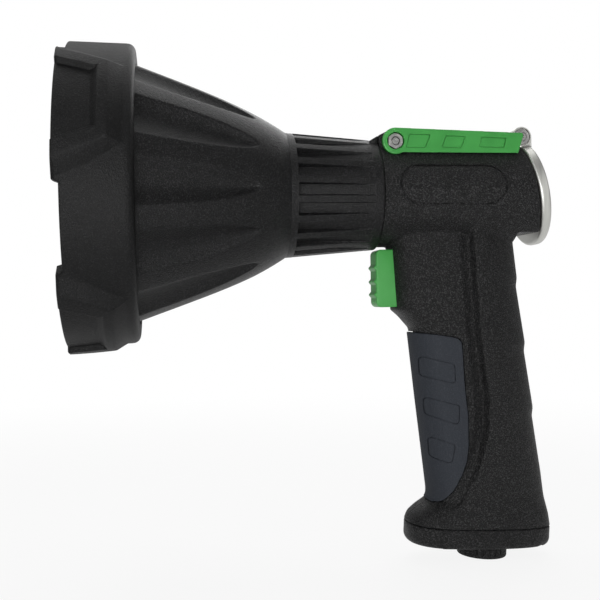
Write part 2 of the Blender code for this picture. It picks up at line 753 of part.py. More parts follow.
finish(head, "head_housing", dark)

# Optics: lens, seal, reflector, emitter, board and heat sink, stacked from the lip to the seat.

lens_front = lip_rear + CLEARANCE
lens_rear = lens_front + LENS_THICKNESS
lens = rod("lens_blank", collar_radius, lens_front, lens_rear, (0, 0, 0), "X", TUBE_STEPS)
finish(bevelled(lens, CLEARANCE, 1), "lens", clear)

seal_front = lens_rear + CLEARANCE
seal_rear = seal_front + SEAL_THICKNESS
seal = turned(
    "seal_blank",
    [(seal_front, collar_radius), (seal_rear, collar_radius), (seal_rear, collar_radius - SEAL_WIDTH),
        (seal_front, collar_radius - SEAL_WIDTH)],
    FINE_STEPS,
)
finish(seal, "lens_seal", seal_rubber)

flange_front = seal_rear + CLEARANCE
flange_rear = flange_front + FLANGE_THICKNESS
vertex = flange_front + REFLECTOR_DEPTH
bowl = reflector_rim**2 / REFLECTOR_DEPTH


def bowl_depth(radius):
    return vertex - radius**2 / bowl


radii = np.linspace(reflector_rim, REFLECTOR_HOLE, 7)
reflector = turned(
    "reflector_blank",
    [*[(bowl_depth(r), r) for r in radii],
     *[(bowl_depth(r) + REFLECTOR_WALL, r) for r in radii[:0:-1]],
     (flange_rear, reflector_rim + REFLECTOR_WALL),
     (flange_rear, collar_radius),
     (flange_front, collar_radius)],
    FINE_STEPS,
)
finish(reflector, "reflector", chrome)

sink_front = sink_seat - CLEARANCE - SINK_PLATE
sink = [(sink_front, 0), (sink_front, sink_radius), (sink_front + SINK_PLATE, sink_radius),
    (sink_front + SINK_PLATE, SINK_CORE_RADIUS)]
fin_pitch = SINK_LENGTH / FIN_COUNT
for k in range(1, FIN_COUNT + 1):
    fin_rear = sink_front + SINK_PLATE + k * fin_pitch
    fin_radius = neck_bore_radius - PLAY
    sink += [(fin_rear - FIN_THICKNESS, SINK_CORE_RADIUS), (fin_rear - FIN_THICKNESS, fin_radius),
        (fin_rear, fin_radius)]
    sink.append((fin_rear, SINK_CORE_RADIUS if k < FIN_COUNT else 0))
finish(turned("sink_blank", sink, SMALL_STEPS), "heat_sink", aluminium)

board_rear = sink_front - CLEARANCE
board_front = board_rear - BOARD_THICKNESS
finish(rod("board_blank", BOARD_RADIUS, board_front, board_rear, (0, 0, 0), "X", FINE_STEPS), "led_board",
    board_green)
emitter_rear = board_front - CLEARANCE
half = EMITTER_WIDTH / 2
emitter = box("emitter_blank", (emitter_rear - EMITTER_HEIGHT, -half, -half), (emitter_rear, half, half))
finish(bevelled(emitter, CLEARANCE, 1), "led_emitter", emitter_yellow)

# Pistol handle: sections lofted down a leaning grip, with palm ridges behind and a crease each side.


def grip_values(drop):
    """Section sizes at a drop below the barrel's axis."""
    table = np.array(GRIP_SHARES)
    return [np.interp(drop / GRIP_DROP, table[:, 0], column) for column in table[:, 1:].T]


def palm_ripple(drop):
    """Each ridge steps in just below itself, and the surface then runs out again to the next."""
    below = drop - PALM_TOP
    if below <= 0 or below >= PALM_PITCH * PALM_COUNT:
        return 0.0
    run = below % PALM_PITCH
    if run < PALM_RUN:
        return -PALM_STEP * run / PALM_RUN
    return -PALM_STEP * (1 - (run - PALM_RUN) / (PALM_PITCH - PALM_RUN))


def grip_rear(drop):
    share, rear = zip(*GRIP_REAR_SHARES)
    return grip_front + GRIP_DEPTH * np.interp(drop / GRIP_DROP, share, rear) + palm_ripple(drop)


def grip_half(drop, front_inset=0.0, rear_inset=0.0):
    """Half a section, as (x, half width) from the nose round to the tail."""
    front, crease, front_width, rear_width, nose, fullness = grip_values(drop)
    nose_x = grip_front + GRIP_DEPTH * front + front_inset
    crease_x = grip_front + GRIP_DEPTH * crease
    front_half = GRIP_HALF_WIDTH * front_width - front_inset
    rear_half = GRIP_HALF_WIDTH * rear_width - rear_inset
    length = GRIP_DEPTH * nose - front_inset / 2
    tail_x = crease_x + CREASE_RUN
    tail = grip_rear(drop) - rear_inset - tail_x
    half = []
    for t in np.linspace(0, math.pi / 2, NOSE_POINTS):
        half.append((nose_x + length * (1 - math.cos(t) ** NOSE_POWER),
            front_half * math.sin(t) ** NOSE_POWER))
    half.append((crease_x, front_half))
    for t in np.linspace(0, math.pi / 2, TAIL_POINTS):
        power = 1 / (TAIL_POWER_BASE + fullness)
        half.append((tail_x + tail * math.sin(t) ** power, rear_half * abs(math.cos(t)) ** power))
    half[-1] = (half[-1][0], 0.0)
    return half


def whole(half):
    """The half section and its mirror, without repeating the points on the middle plane."""
    return half + [(x, -y) for x, y in half[-2:0:-1]]


def grip_drops(first, last, ridged):
    """Where the sections lie: at the table's rows and, on the outside, at the palm ridges."""
    ridges = [PALM_TOP + k * PALM_PITCH + step for k in range(PALM_COUNT + 1) for step in (0.0, PALM_RUN)]
    drops = {share[0] * GRIP_DROP for share in GRIP_SHARES[:: 1 if ridged else 2]}
    if ridged:
        drops |= set(ridges[:-1])
    kept = sorted(drop for drop in drops if first < drop < last)
    spaced = [first]
    for drop in kept:
        if drop - spaced[-1] > PALM_RUN / 4:
            spaced.append(drop)
    return spaced + [last]


def grip_loft(name, front_inset=0.0, rear_inset=0.0, first=GRIP_TOP_SHARE, last=GRIP_END_SHARE, ridged=True):
    drops = grip_drops(GRIP_DROP * first, GRIP_DROP * last, ridged)
    return lofted(name, [[(x, y, -drop) for x, y in whole(grip_half(drop, front_inset, rear_inset))]
        for drop in drops])


def seam_box(name, low, high):
    """A block whose ends are parallel to the seam above the base cap, measured from it along its normal."""
    reach = GRIP_DEPTH + OVERRUN
    place = Vector((grip_middle, 0, -GRIP_DROP))
    return box(name, place + Vector((-reach, -reach, low)), place + Vector((reach, reach, high)),
        (0, SEAM_TILT, 0), place)


# Body shell: barrel tube, handle, arm boss and ramp, hollowed and split down the middle.

shell = rod("body_blank", TUBE_RADIUS, tube_front, tube_rear + TUBE_RADIUS / 2, (0, 0, 0), "X", TUBE_STEPS)


def behind_slant(name, inset):
    """What lies behind the slanted rear face, or behind the same plane set in by a wall."""
    place = Vector((tube_rear - inset, 0, 0))
    reach = Vector((TUBE_RADIUS, TUBE_RADIUS, TUBE_RADIUS)) * 2
    return box(name, place - Vector((0, reach.y, reach.z)), place + reach, (0, -TUBE_SLANT, 0), place)


rear_slant = behind_slant("rear_slant", 0)
under_flat = box(
    "under_flat", (grip_rear(tube_flat) - GRIP_WALL, -TUBE_RADIUS, -TUBE_RADIUS - OVERRUN),
    (tube_rear + TUBE_RADIUS, TUBE_RADIUS, -tube_flat)
)
cut(shell, under_flat)
join(shell, grip_loft("grip_solid"))
cut(shell, rear_slant)

# The boss is a round about the pivot, and the ramp runs off its front at a tangent.
tangent = math.pi / 2 + RAMP_ANGLE
boss_outline = ring_of(BOSS_RADIUS, (pivot_x, pivot_z), FINE_STEPS // 2, -math.pi / 4, tangent)
boss_outline += [(tube_front, ramp_toe + (RAMP_LEAD + CLEARANCE) * ramp_rise),
    (tube_front, tube_bore - TUBE_WALL)]
join(shell, plate("arm_boss", boss_outline, -BOSS_HALF_WIDTH, BOSS_HALF_WIDTH))

bore = rod("tube_bore", tube_bore, tube_front - OVERRUN, bore_end, (0, 0, 0), "X", TUBE_STEPS)
pad_room = PAD_DEPTH + CLEARANCE
grip_hollow = grip_loft("grip_hollow", GRIP_WALL + pad_room, GRIP_WALL, HOLLOW_TOP_SHARE, HOLLOW_END_SHARE,
    False)
cut(grip_hollow, behind_slant("slant_wall", GRIP_WALL))
cut(shell, join(bore, grip_hollow))

# Posts for the case screws run right across the hollow, and rails and shelves carry what is inside.
screw_places = [(grip_front + GRIP_DEPTH * a, -GRIP_DROP * d) for a, d in CASE_SCREW_SHARES]
posts = []
for x, z in screw_places:
    reach = grip_half(max(-z, GRIP_DROP * HOLLOW_TOP_SHARE))[NOSE_POINTS][1]
    posts.append(rod("screw_post", SCREW_BOSS_RADIUS, -reach + TUBE_WALL / 2, reach - TUBE_WALL / 2,
        (x, 0, z)))
trigger_foot = -TRIGGER_TOP - TRIGGER_LENGTH
flange_front_x = grip_front + TRIGGER_DEPTH - TRIGGER_REACH
flange_rear_x = flange_front_x + FLANGE_LENGTH
spring_front = flange_rear_x + CLEARANCE + SPRING_WIRE
switch_front = spring_front + SPRING_LENGTH + SPRING_WIRE + CLEARANCE
switch_rear = switch_front + SWITCH_LENGTH
switch_bottom = -TRIGGER_TOP - TRIGGER_LENGTH / 2 - SWITCH_HEIGHT / 2
shelf_top = switch_bottom - CLEARANCE
shelf_half = GRIP_HALF_WIDTH * SHELF_WIDTH_SHARE - GRIP_WALL / 2 - pad_room
switch_shelf = box(
    "switch_shelf", (switch_front, -shelf_half, shelf_top - SHELF_THICKNESS),
    (switch_rear, shelf_half, shelf_top)
)
pcb_top = -PCB_DROP
pcb_bottom = pcb_top - PCB_THICKNESS
pcb_half = math.sqrt(tube_bore**2 - pcb_bottom**2) - CLEARANCE * 2
pcb_front = neck_rear + spigot_length + PLAY * 2
pcb_rear = bore_end - PCB_SETBACK
rails = []
for side in (-1, 1):
    inner, outer = sorted((side * (pcb_half - RAIL_DEPTH), side * (pcb_half + TUBE_WALL / 2)))
    rails.append(box("board_rail", (pcb_front, inner, pcb_bottom - CLEARANCE - RAIL_THICKNESS),
        (pcb_rear, outer, pcb_bottom - CLEARANCE)))
cap_screws = []
for share in CAP_SCREW_SHARES:
    cap_screws += [(grip_front + GRIP_DEPTH * share, side * CAP_SCREW_OFFSET) for side in (-1, 1)]
cap_bosses = []
for x, y in cap_screws:
    place = Vector((x, 0, -GRIP_DROP - (x - grip_middle) * math.tan(SEAM_TILT)))
    inner = math.copysign(CAP_SCREW_OFFSET - CAP_BOSS_HALF, y)
    outer = math.copysign(CAP_SCREW_OFFSET + CAP_BOSS_HALF, y)
    low, high = sorted((inner, outer))
    shares = CAP_BOSS_FRONT_SHARES if x < grip_middle else CAP_BOSS_REAR_SHARES
    ends = [CAP_BOSS_HALF * share for share in shares]
    cap_bosses.append(
        box("cap_boss", place + Vector((ends[0], low, -CAP_BOSS_HALF)),
            place + Vector((ends[1], high, CAP_BOSS_HEIGHT)), (0, SEAM_TILT, 0), place)
    )
# What reaches past the outside is trimmed off by keeping it within the handle's own solid.
inside = join(posts[0], *posts[1:], switch_shelf, *rails, *cap_bosses)
within = join(grip_loft("grip_trim", GRIP_WALL / 2, GRIP_WALL / 2, ridged=False),
    rod("tube_trim", TUBE_RADIUS - TUBE_WALL / 2, tube_front, bore_end + TUBE_WALL, (0, 0, 0), "X",
        TUBE_STEPS))
common(inside, within)
join(shell, inside)
cut(shell, seam_box("below_seam", -GRIP_DEPTH, 0))

# Pocket for the soft pad: the pad's own outline, a little larger and deeper.
pad_outline = [(grip_front + GRIP_DEPTH * a, -GRIP_DROP * d) for a, d in PAD_SHARES]
pad_reach = GRIP_HALF_WIDTH + OVERRUN
pocket = plate("pad_pocket", grown(pad_outline, CLEARANCE), -pad_reach, pad_reach)
cut(pocket, grip_loft("pocket_floor", pad_room, pad_room))
cut(shell, pocket)

# Slot for the trigger, pivot bore, notch for the rear hinge, and the outlined recess on each side.
slot_gap = CLEARANCE
cut(shell, box(
    "trigger_slot",
    (grip_front - OVERRUN, -TRIGGER_HALF_WIDTH - slot_gap, trigger_foot - slot_gap),
    (flange_front_x - CLEARANCE, TRIGGER_HALF_WIDTH + slot_gap, -TRIGGER_TOP + slot_gap),
))
cut(shell, rod("pivot_bore", BOLT_RADIUS + CLEARANCE, -ARM_HALF_WIDTH, ARM_HALF_WIDTH, (pivot_x, 0, pivot_z)))
cheek_inner = ARM_HALF_WIDTH - CHEEK_THICKNESS


def crown_cone(name, side, gap):
    """One cheek's round about the pivot: a cone on its inner side, so that it turns in a shallow pocket."""
    profile = [
        (cheek_inner - gap, 0), (cheek_inner - gap, CROWN_INNER_RADIUS + gap),
        (cheek_inner + CROWN_RUN, ARM_CROWN + gap),
        (ARM_HALF_WIDTH + gap, ARM_CROWN + gap), (ARM_HALF_WIDTH + gap, 0),
    ]
    return turned(name, [(along * side, radius) for along, radius in profile], SMALL_STEPS,
        (pivot_x, 0, pivot_z), TURNS["Y"])


for side in (-1, 1):
    cut(shell, crown_cone("crown_pocket", side, PLAY))
notch_half = EAR_OUTER + PLAY
cut(shell, box(
    "hinge_notch", (hinge_x - EAR_RADIUS - NOTCH_GAP, -notch_half, hinge_z - EAR_RADIUS - NOTCH_GAP),
    (tube_rear + TUBE_RADIUS, notch_half, TUBE_RADIUS + OVERRUN),
))


def stadium(length, height, middle, steps=SMALL_STEPS):
    radius = height / 2
    reach = length / 2 - radius
    right = ring_of(radius, (middle[0] + reach, middle[1]), steps // 2, -math.pi / 2, math.pi / 2)
    left = ring_of(radius, (middle[0] - reach, middle[1]), steps // 2, math.pi / 2, 3 * math.pi / 2)
    return right + left


recess_middle = (tube_front + RECESS_SETBACK + RECESS_LENGTH / 2, RECESS_RISE)
recess = plate("recess_ring", stadium(RECESS_LENGTH, RECESS_HEIGHT, recess_middle), -TUBE_RADIUS - OVERRUN,
    TUBE_RADIUS + OVERRUN)
cut(
    recess,
    plate(
        "recess_island", stadium(RECESS_LENGTH - RECESS_GROOVE * 2, RECESS_HEIGHT - RECESS_GROOVE * 2,
            recess_middle),
        -TUBE_RADIUS - OVERRUN * 2, TUBE_RADIUS + OVERRUN * 2,
    ),
    rod("recess_floor", TUBE_RADIUS - RECESS_DEPTH, tube_front - OVERRUN, tube_rear, (0, 0, 0), "X",
        TUBE_STEPS),
)
cut(shell, recess)

# Screw holes: a sunk seat in the far half, clear through it, and a pilot in the near half.
for x, z in screw_places:
    cut(shell, rod("screw_sink", SCREW_HEAD_RADIUS + CLEARANCE, SCREW_SEAT, TUBE_RADIUS + OVERRUN, (x, 0, z)))
    cut(shell, rod("screw_hole", SCREW_RADIUS + CLEARANCE, SCREW_SEAT - SCREW_LENGTH - CLEARANCE,
        SCREW_SEAT + OVERRUN, (x, 0, z)))
for x, y in cap_screws:
    place = Vector((x, y, -GRIP_DROP - (x - grip_middle) * math.tan(SEAM_TILT)))
    hole = rod("cap_screw_hole", SCREW_RADIUS + CLEARANCE, -OVERRUN, CAP_BOSS_HEIGHT - GRIP_WALL, place, "Z")
    hole.rotation_euler = (0, SEAM_TILT, 0)
    cut(shell, hole)

body_reach = GRIP_DROP + CAP_HEIGHT
for name, side in (("body_left", -1), ("body_right", 1)):
    low, high = sorted((side * CLEARANCE / 2, side * body_reach))
    half_space = box(name + "_side", (-body_reach, low, -body_reach), (body_reach, high, body_reach))
    finish(common(half_space, shell), name, black)

# Soft grip pad.

pad = plate("pad_blank", pad_outline, -pad_reach, pad_reach)
common(pad, grip_loft("pad_face", -PAD_PROUD, -PAD_PROUD))
cut(pad, grip_loft("pad_back", PAD_DEPTH, PAD_DEPTH))
finish(pad, "grip_pad", slate)

# Trigger, spring and switch.

trigger_front = grip_front - TRIGGER_REACH
scallop_pitch = (TRIGGER_LENGTH - TRIGGER_ROUND * 2) / TRIGGER_RIBS
face = []
for k in range(TRIGGER_RIBS):
    for t in np.linspace(0, 1, 7)[(1 if k else 0):]:
        depth = TRIGGER_SCALLOP * math.sin(math.pi * t) ** SCALLOP_POWER
        face.append((trigger_front + depth, -TRIGGER_TOP - TRIGGER_ROUND - (k + t) * scallop_pitch))
corner = (trigger_front + TRIGGER_ROUND, trigger_foot + TRIGGER_ROUND)
low_corner = ring_of(TRIGGER_ROUND, corner, 5, math.pi, math.pi * 1.5)
high_corner = ring_of(TRIGGER_ROUND, (corner[0], -TRIGGER_TOP - TRIGGER_ROUND), 5, math.pi / 2, math.pi)
trigger_outline = high_corner[:-1] + face + low_corner[1:] + [(flange_rear_x, trigger_foot),
    (flange_rear_x, -TRIGGER_TOP)]
trigger = bevelled(plate("trigger_blank", trigger_outline, -TRIGGER_HALF_WIDTH, TRIGGER_HALF_WIDTH),
    TRIGGER_EDGE, 2)
flange = box(
    "trigger_flange", (flange_front_x, -FLANGE_HALF_WIDTH, trigger_foot - FLANGE_OVERLAP / 2),
    (flange_rear_x, FLANGE_HALF_WIDTH, -TRIGGER_TOP + FLANGE_OVERLAP / 2),
)
finish(join(trigger, flange), "trigger", green, trigger_body)

spring_z = -TRIGGER_TOP - TRIGGER_LENGTH / 2
spring_points = []
total = SPRING_TURNS * CURL_POINTS
for i in range(total + 1):
    turn = 2 * math.pi * i / CURL_POINTS
    spring_points.append(
        (spring_front + SPRING_LENGTH * i / total, SPRING_RADIUS * math.cos(turn),
            spring_z + SPRING_RADIUS * math.sin(turn))
    )
wound = np.array(spring_points)
spans = np.linalg.norm(wound[:, None] - wound[None, :], axis=2)
spans[np.abs(np.subtract.outer(np.arange(total + 1), np.arange(total + 1))) < CURL_POINTS // 2] = np.inf
print(f"least gap between the spring's curls: {(spans.min() - 2 * SPRING_WIRE) * 1000:.2f} mm")
wire = bpy.data.curves.new("trigger_spring", "CURVE")
wire.dimensions = "3D"
wire.bevel_depth = SPRING_WIRE
wire.bevel_resolution = 1
wire.use_fill_caps = True
line = wire.splines.new("POLY")
line.points.add(total)
for point, place in zip(line.points, spring_points):
    point.co = (*place, 1)
finish(as_mesh(helper("spring_wire", wire), "spring_blank"), "trigger_spring", steel)

switch = box(
    "switch_blank", (switch_front, -SWITCH_HALF_WIDTH, switch_bottom),
    (switch_rear, SWITCH_HALF_WIDTH, switch_bottom + SWITCH_HEIGHT)
)
finish(bevelled(switch, CLEARANCE, 1), "trigger_switch", holder_grey)

# Control board and battery pack.

pcb = box("pcb_blank", (pcb_front, -pcb_half + CLEARANCE, pcb_bottom),
    (pcb_rear, pcb_half - CLEARANCE, pcb_top))
finish(pcb, "control_board", board_green)

pack_middle = grip_front + GRIP_DEPTH * PACK_SHARE
pack_place = Vector((pack_middle, 0, -GRIP_DROP))
pack_turn = (0, -CELL_LEAN, 0)
cell_foot = HOLDER_WALL + CELL_PITCH * math.tan(CELL_LEAN + SEAM_TILT)
for k, name in enumerate(("battery_cell_1", "battery_cell_2")):
    offset = (k - 0.5) * CELL_PITCH
    profile = [
        (cell_foot, 0), (cell_foot, CELL_RADIUS), (cell_foot + CELL_LENGTH, CELL_RADIUS),
        (cell_foot + CELL_LENGTH, CELL_RADIUS * CELL_NIB_RADIUS_SHARE),
        (cell_foot + CELL_LENGTH + CELL_NIB, CELL_RADIUS * CELL_NIB_RADIUS_SHARE),
        (cell_foot + CELL_LENGTH + CELL_NIB, 0),
    ]
    cell = turned(name + "_blank", profile, SMALL_STEPS,
        pack_place + Matrix.Rotation(-CELL_LEAN, 3, "Y") @ Vector((offset, 0, 0)), pack_turn)
    finish(cell, name, cell_wrap)
holder_radius = CELL_RADIUS + CLEARANCE + HOLDER_WALL
rows = []
for height in (-CELL_PITCH, cell_foot + HOLDER_DEPTH):
    outline = stadium(CELL_PITCH + holder_radius * 2, holder_radius * 2, (0, 0))
    rows.append([(x, y, height) for x, y in outline])
holder = lofted("holder_blank", rows, pack_place, pack_turn)
for k in (-0.5, 0.5):
    place = pack_place + Matrix.Rotation(-CELL_LEAN, 3, "Y") @ Vector((k * CELL_PITCH, 0, 0))
    well = rod("cell_well", CELL_RADIUS + CLEARANCE, cell_foot - CLEARANCE,
        cell_foot + HOLDER_DEPTH + OVERRUN, place, "Z")
    well.rotation_euler = pack_turn
    cut(holder, well)
cut(holder, seam_box("under_holder", -GRIP_DEPTH, CLEARANCE))
finish(holder, "battery_holder", holder_grey)

# Base cap, charging socket, plug and cap screws.


def seam_ring(depth, inset):
    """The handle's outline where the seam cuts it, drawn in by an inset and moved down the seam's normal."""
    ring = []
    for i in range(len(whole(grip_half(GRIP_DROP)))):
        drop = GRIP_DROP
        for _ in range(5):
            x, y = whole(grip_half(drop, inset, inset))[i]
            drop = GRIP_DROP + (x - grip_middle) * math.tan(SEAM_TILT)
        ring.append(Vector((x, y, -drop)) - seam_normal * depth)
    return ring


lamp_rear = max(point.x for point in seam_ring(0.0, 0.0))
lamp.location.x = -(lug_front + lamp_rear) / 2

cap_rings = [seam_ring(CLEARANCE, 0.0)]
for depth_share, inset_share in CAP_ROUND_SHARES[1:]:
    cap_rings.append(seam_ring(CAP_HEIGHT * depth_share, CAP_ROUND * inset_share))
cap = lofted("cap_blank", cap_rings)
socket_place = Vector((plug_x, 0, plug_seam))
socket_well = rod("socket_well", SOCKET_RADIUS + CLEARANCE, -CAP_HEIGHT - OVERRUN, OVERRUN, socket_place, "Z")
socket_well.rotation_euler = (0, SEAM_TILT, 0)
cut(cap, socket_well)
for x, y in cap_screws:
    place = Vector((x, y, -GRIP_DROP - (x - grip_middle) * math.tan(SEAM_TILT)))
    for name, radius, low, high in (
        ("cap_sink", SCREW_HEAD_RADIUS + CLEARANCE, -CAP_HEIGHT - OVERRUN, -CAP_HEIGHT / 2),
        ("cap_hole", SCREW_RADIUS + CLEARANCE, -CAP_HEIGHT, OVERRUN),
    ):
        hole = rod(name, radius, low, high, place, "Z")
        hole.rotation_euler = (0, SEAM_TILT, 0)
        cut(cap, hole)
finish(cap, "base_cap", black)

socket_top = -CLEARANCE * 2
socket = [
    (socket_top, 0), (socket_top, SOCKET_RADIUS), (socket_top - SOCKET_HEIGHT, SOCKET_RADIUS),
    (socket_top - SOCKET_HEIGHT, PLUG_STEM_RADIUS), (socket_top - SOCKET_HEIGHT / 2, PLUG_STEM_RADIUS),
    (socket_top - SOCKET_HEIGHT / 2, 0),
]
finish(turned("socket_blank", socket, SMALL_STEPS, socket_place, (0, SEAM_TILT, 0)), "charge_socket",
    holder_grey)

plug_top = -CAP_HEIGHT - CLEARANCE
plug_foot = -CAP_HEIGHT - PLUG_HEIGHT
stem_radius = PLUG_STEM_RADIUS - CLEARANCE
plug = turned(
    "plug_blank",
    [(plug_foot, 0), (plug_foot, PLUG_RADIUS - PLUG_EDGE), (plug_foot + PLUG_EDGE, PLUG_RADIUS),
        (plug_top, PLUG_RADIUS),
     (plug_top, stem_radius), (plug_top + PLUG_STEM, stem_radius), (plug_top + PLUG_STEM, 0)],
    FINE_STEPS, socket_place, (0, SEAM_TILT, 0),
)
finish(plug, "base_plug", black, plug_body)


def screw(name, seat, place, turn, parent=None):
    """A pan-head screw: its head's underside lies on the seat, and its shank runs down the local axis."""
    profile = [
        (seat - SCREW_LENGTH, 0), (seat - SCREW_LENGTH, SCREW_RADIUS), (seat, SCREW_RADIUS),
        (seat, SCREW_HEAD_RADIUS),
        (seat + SCREW_HEAD_HEIGHT * SCREW_SIDE_SHARE, SCREW_HEAD_RADIUS),
        (seat + SCREW_HEAD_HEIGHT, SCREW_HEAD_RADIUS * SCREW_FACE_SHARE), (seat + SCREW_HEAD_HEIGHT, 0),
    ]
    made = turned(name + "_blank", profile, SMALL_STEPS // 2, place, turn)
    drive = rod(
        name + "_socket", SCREW_SOCKET_RADIUS, seat + SCREW_HEAD_HEIGHT - SCREW_SOCKET_DEPTH,
        seat + SCREW_HEAD_HEIGHT + OVERRUN, place, "Z", 6
    )
    drive.rotation_euler = turn
    cut(made, drive)
    finish(made, name, steel, parent)


for k, (x, z) in enumerate(screw_places):
    screw(f"case_screw_{k + 1}", SCREW_SEAT + CLEARANCE, (x, 0, z), TURNS["Y"])
for k, (x, y) in enumerate(cap_screws):
    place = Vector((x, y, -GRIP_DROP - (x - grip_middle) * math.tan(SEAM_TILT)))
    screw(f"cap_screw_{k + 1}", CAP_HEIGHT / 2 + CLEARANCE, place, (math.pi, SEAM_TILT, 0))

# Arm: a green saddle on the barrel, hinged at its front.

arm_points = [(pivot_x + arm_reach * a, pivot_z + ARM_CROWN * h) for a, h in ARM_TOP_SHARES]
arm_outline = arm_points[1:] + ring_of(ARM_CROWN, (pivot_x, pivot_z), FINE_STEPS // 2, math.pi * 1.45,
    math.pi * 0.5)
arm = bevelled(plate("arm_blank", arm_outline, -ARM_HALF_WIDTH, ARM_HALF_WIDTH), TRIGGER_EDGE / 2, 1)
web_start = pivot_x + arm_reach * WEB_START_SHARE
web_end = pivot_x + arm_reach * WEB_END_SHARE
low_z = pivot_z - ARM_CROWN * 2
high_z = pivot_z + ARM_CROWN * 2
cut(
    arm,
    rod("saddle", TUBE_RADIUS + PLAY, tube_front - TUBE_RADIUS, tube_rear + TUBE_RADIUS, (0, 0, 0), "X",
        TUBE_STEPS),
    box("pivot_gap", (pivot_x - ARM_CROWN * 2, -cheek_inner, low_z), (web_start, cheek_inner, high_z)),
    box("hinge_gap", (web_end, -cheek_inner, low_z), (hinge_x + ARM_CROWN, cheek_inner, high_z)),
)
for side in (-1, 1):
    low, high = sorted((side * (cheek_inner - PLAY), side * (cheek_inner + CROWN_RUN)))
    around = box("crown_room", (pivot_x - ARM_CROWN * 2, low, low_z), (pivot_x + ARM_CROWN / 4, high, high_z))
    cut(arm, around)
    join(arm, crown_cone("crown", side, 0))
cut(
    arm,
    rod("bolt_bore", BOLT_RADIUS + CLEARANCE, -ARM_HALF_WIDTH - OVERRUN, ARM_HALF_WIDTH + OVERRUN,
        (pivot_x, 0, pivot_z)),
    rod(
        "nut_recess", (NUT_FLATS / 2 + CLEARANCE) / math.cos(math.pi / 6), -ARM_HALF_WIDTH - OVERRUN,
        -ARM_HALF_WIDTH + NUT_HEIGHT + CLEARANCE,
        (pivot_x, 0, pivot_z), "Y", 6, math.pi / 6,
    ),
    rod(
        "head_recess", BOLT_HEAD_RADIUS + CLEARANCE, ARM_HALF_WIDTH - BOLT_HEAD_HEIGHT - CLEARANCE,
        ARM_HALF_WIDTH + OVERRUN,
        (pivot_x, 0, pivot_z),
    ),
)
tongue_front = hinge_x - TONGUE_REACH
tongue_top = hinge_z + TONGUE_HEIGHT / 2
tongue_low = hinge_z - TONGUE_HEIGHT / 2
slot_half = TONGUE_HALF_WIDTH + CLEARANCE
cut(arm, box("tongue_slot", (tongue_front - CLEARANCE, -slot_half, low_z),
    (hinge_x + ARM_CROWN, slot_half, tongue_top + CLEARANCE)))
for panel in ARM_PANEL_SHARES:
    outline = [(pivot_x + arm_reach * a, pivot_z + ARM_CROWN * h) for a, h in panel]
    for side in (-1, 1):
        low, high = sorted((side * (ARM_HALF_WIDTH - PANEL_DEPTH), side * (ARM_HALF_WIDTH + OVERRUN)))
        cut(arm, plate("arm_panel", outline, low, high))
finish(arm, "hinge_arm", green, arm_body)

# Bolt with a sunk head on the far side, and a nut in the near cheek.
bolt = turned(
    "bolt_blank",
    [(-ARM_HALF_WIDTH + CLEARANCE, 0), (-ARM_HALF_WIDTH + CLEARANCE, BOLT_RADIUS),
     (ARM_HALF_WIDTH - BOLT_HEAD_HEIGHT, BOLT_RADIUS), (ARM_HALF_WIDTH - BOLT_HEAD_HEIGHT, BOLT_HEAD_RADIUS),
     (ARM_HALF_WIDTH - CLEARANCE, BOLT_HEAD_RADIUS), (ARM_HALF_WIDTH - CLEARANCE, 0)],
    SMALL_STEPS, (pivot_x, 0, pivot_z), TURNS["Y"],
)
for side in (-1, 1):
    low, high = sorted((side * (ARM_HALF_WIDTH - CLEARANCE - BOLT_SOCKET_RADIUS),
        side * (ARM_HALF_WIDTH + OVERRUN)))
    cut(bolt, rod("bolt_socket", BOLT_SOCKET_RADIUS, low, high, (pivot_x, 0, pivot_z), "Y", 6, math.pi / 7))
finish(bolt, "arm_bolt", steel, arm_body)
nut = rod(
    "nut_blank", NUT_FLATS / 2 / math.cos(math.pi / 6), -ARM_HALF_WIDTH + CLEARANCE,
    -ARM_HALF_WIDTH + NUT_HEIGHT, (pivot_x, 0, pivot_z),
    "Y", 6, math.pi / 6,
)
cut(nut, rod("nut_bore", BOLT_RADIUS + CLEARANCE, -ARM_HALF_WIDTH - OVERRUN,
    -ARM_HALF_WIDTH + NUT_HEIGHT + OVERRUN, (pivot_x, 0, pivot_z)))
finish(nut, "arm_nut", steel, arm_body)

# Tongue between the foot's ears, let into the arm's web from below.
tongue = rod("tongue_blank", TONGUE_RADIUS, -TONGUE_HALF_WIDTH, TONGUE_HALF_WIDTH, (hinge_x, 0, hinge_z))
join(tongue, box("tongue_bar", (tongue_front, -TONGUE_HALF_WIDTH, tongue_low),
    (hinge_x, TONGUE_HALF_WIDTH, tongue_top)))
cut(
    tongue,
    rod("tongue_bore", FOOT_SCREW_RADIUS + CLEARANCE, -EAR_OUTER, EAR_OUTER, (hinge_x, 0, hinge_z)),
    rod("tongue_saddle", TUBE_RADIUS + PLAY, tube_front, tube_rear - REAR_BLOCK / 2, (0, 0, 0), "X",
        TUBE_STEPS),
)
finish(tongue, "arm_link", dark, arm_body)

# Foot: aluminium disc on two ears, with a magnet let into its face.

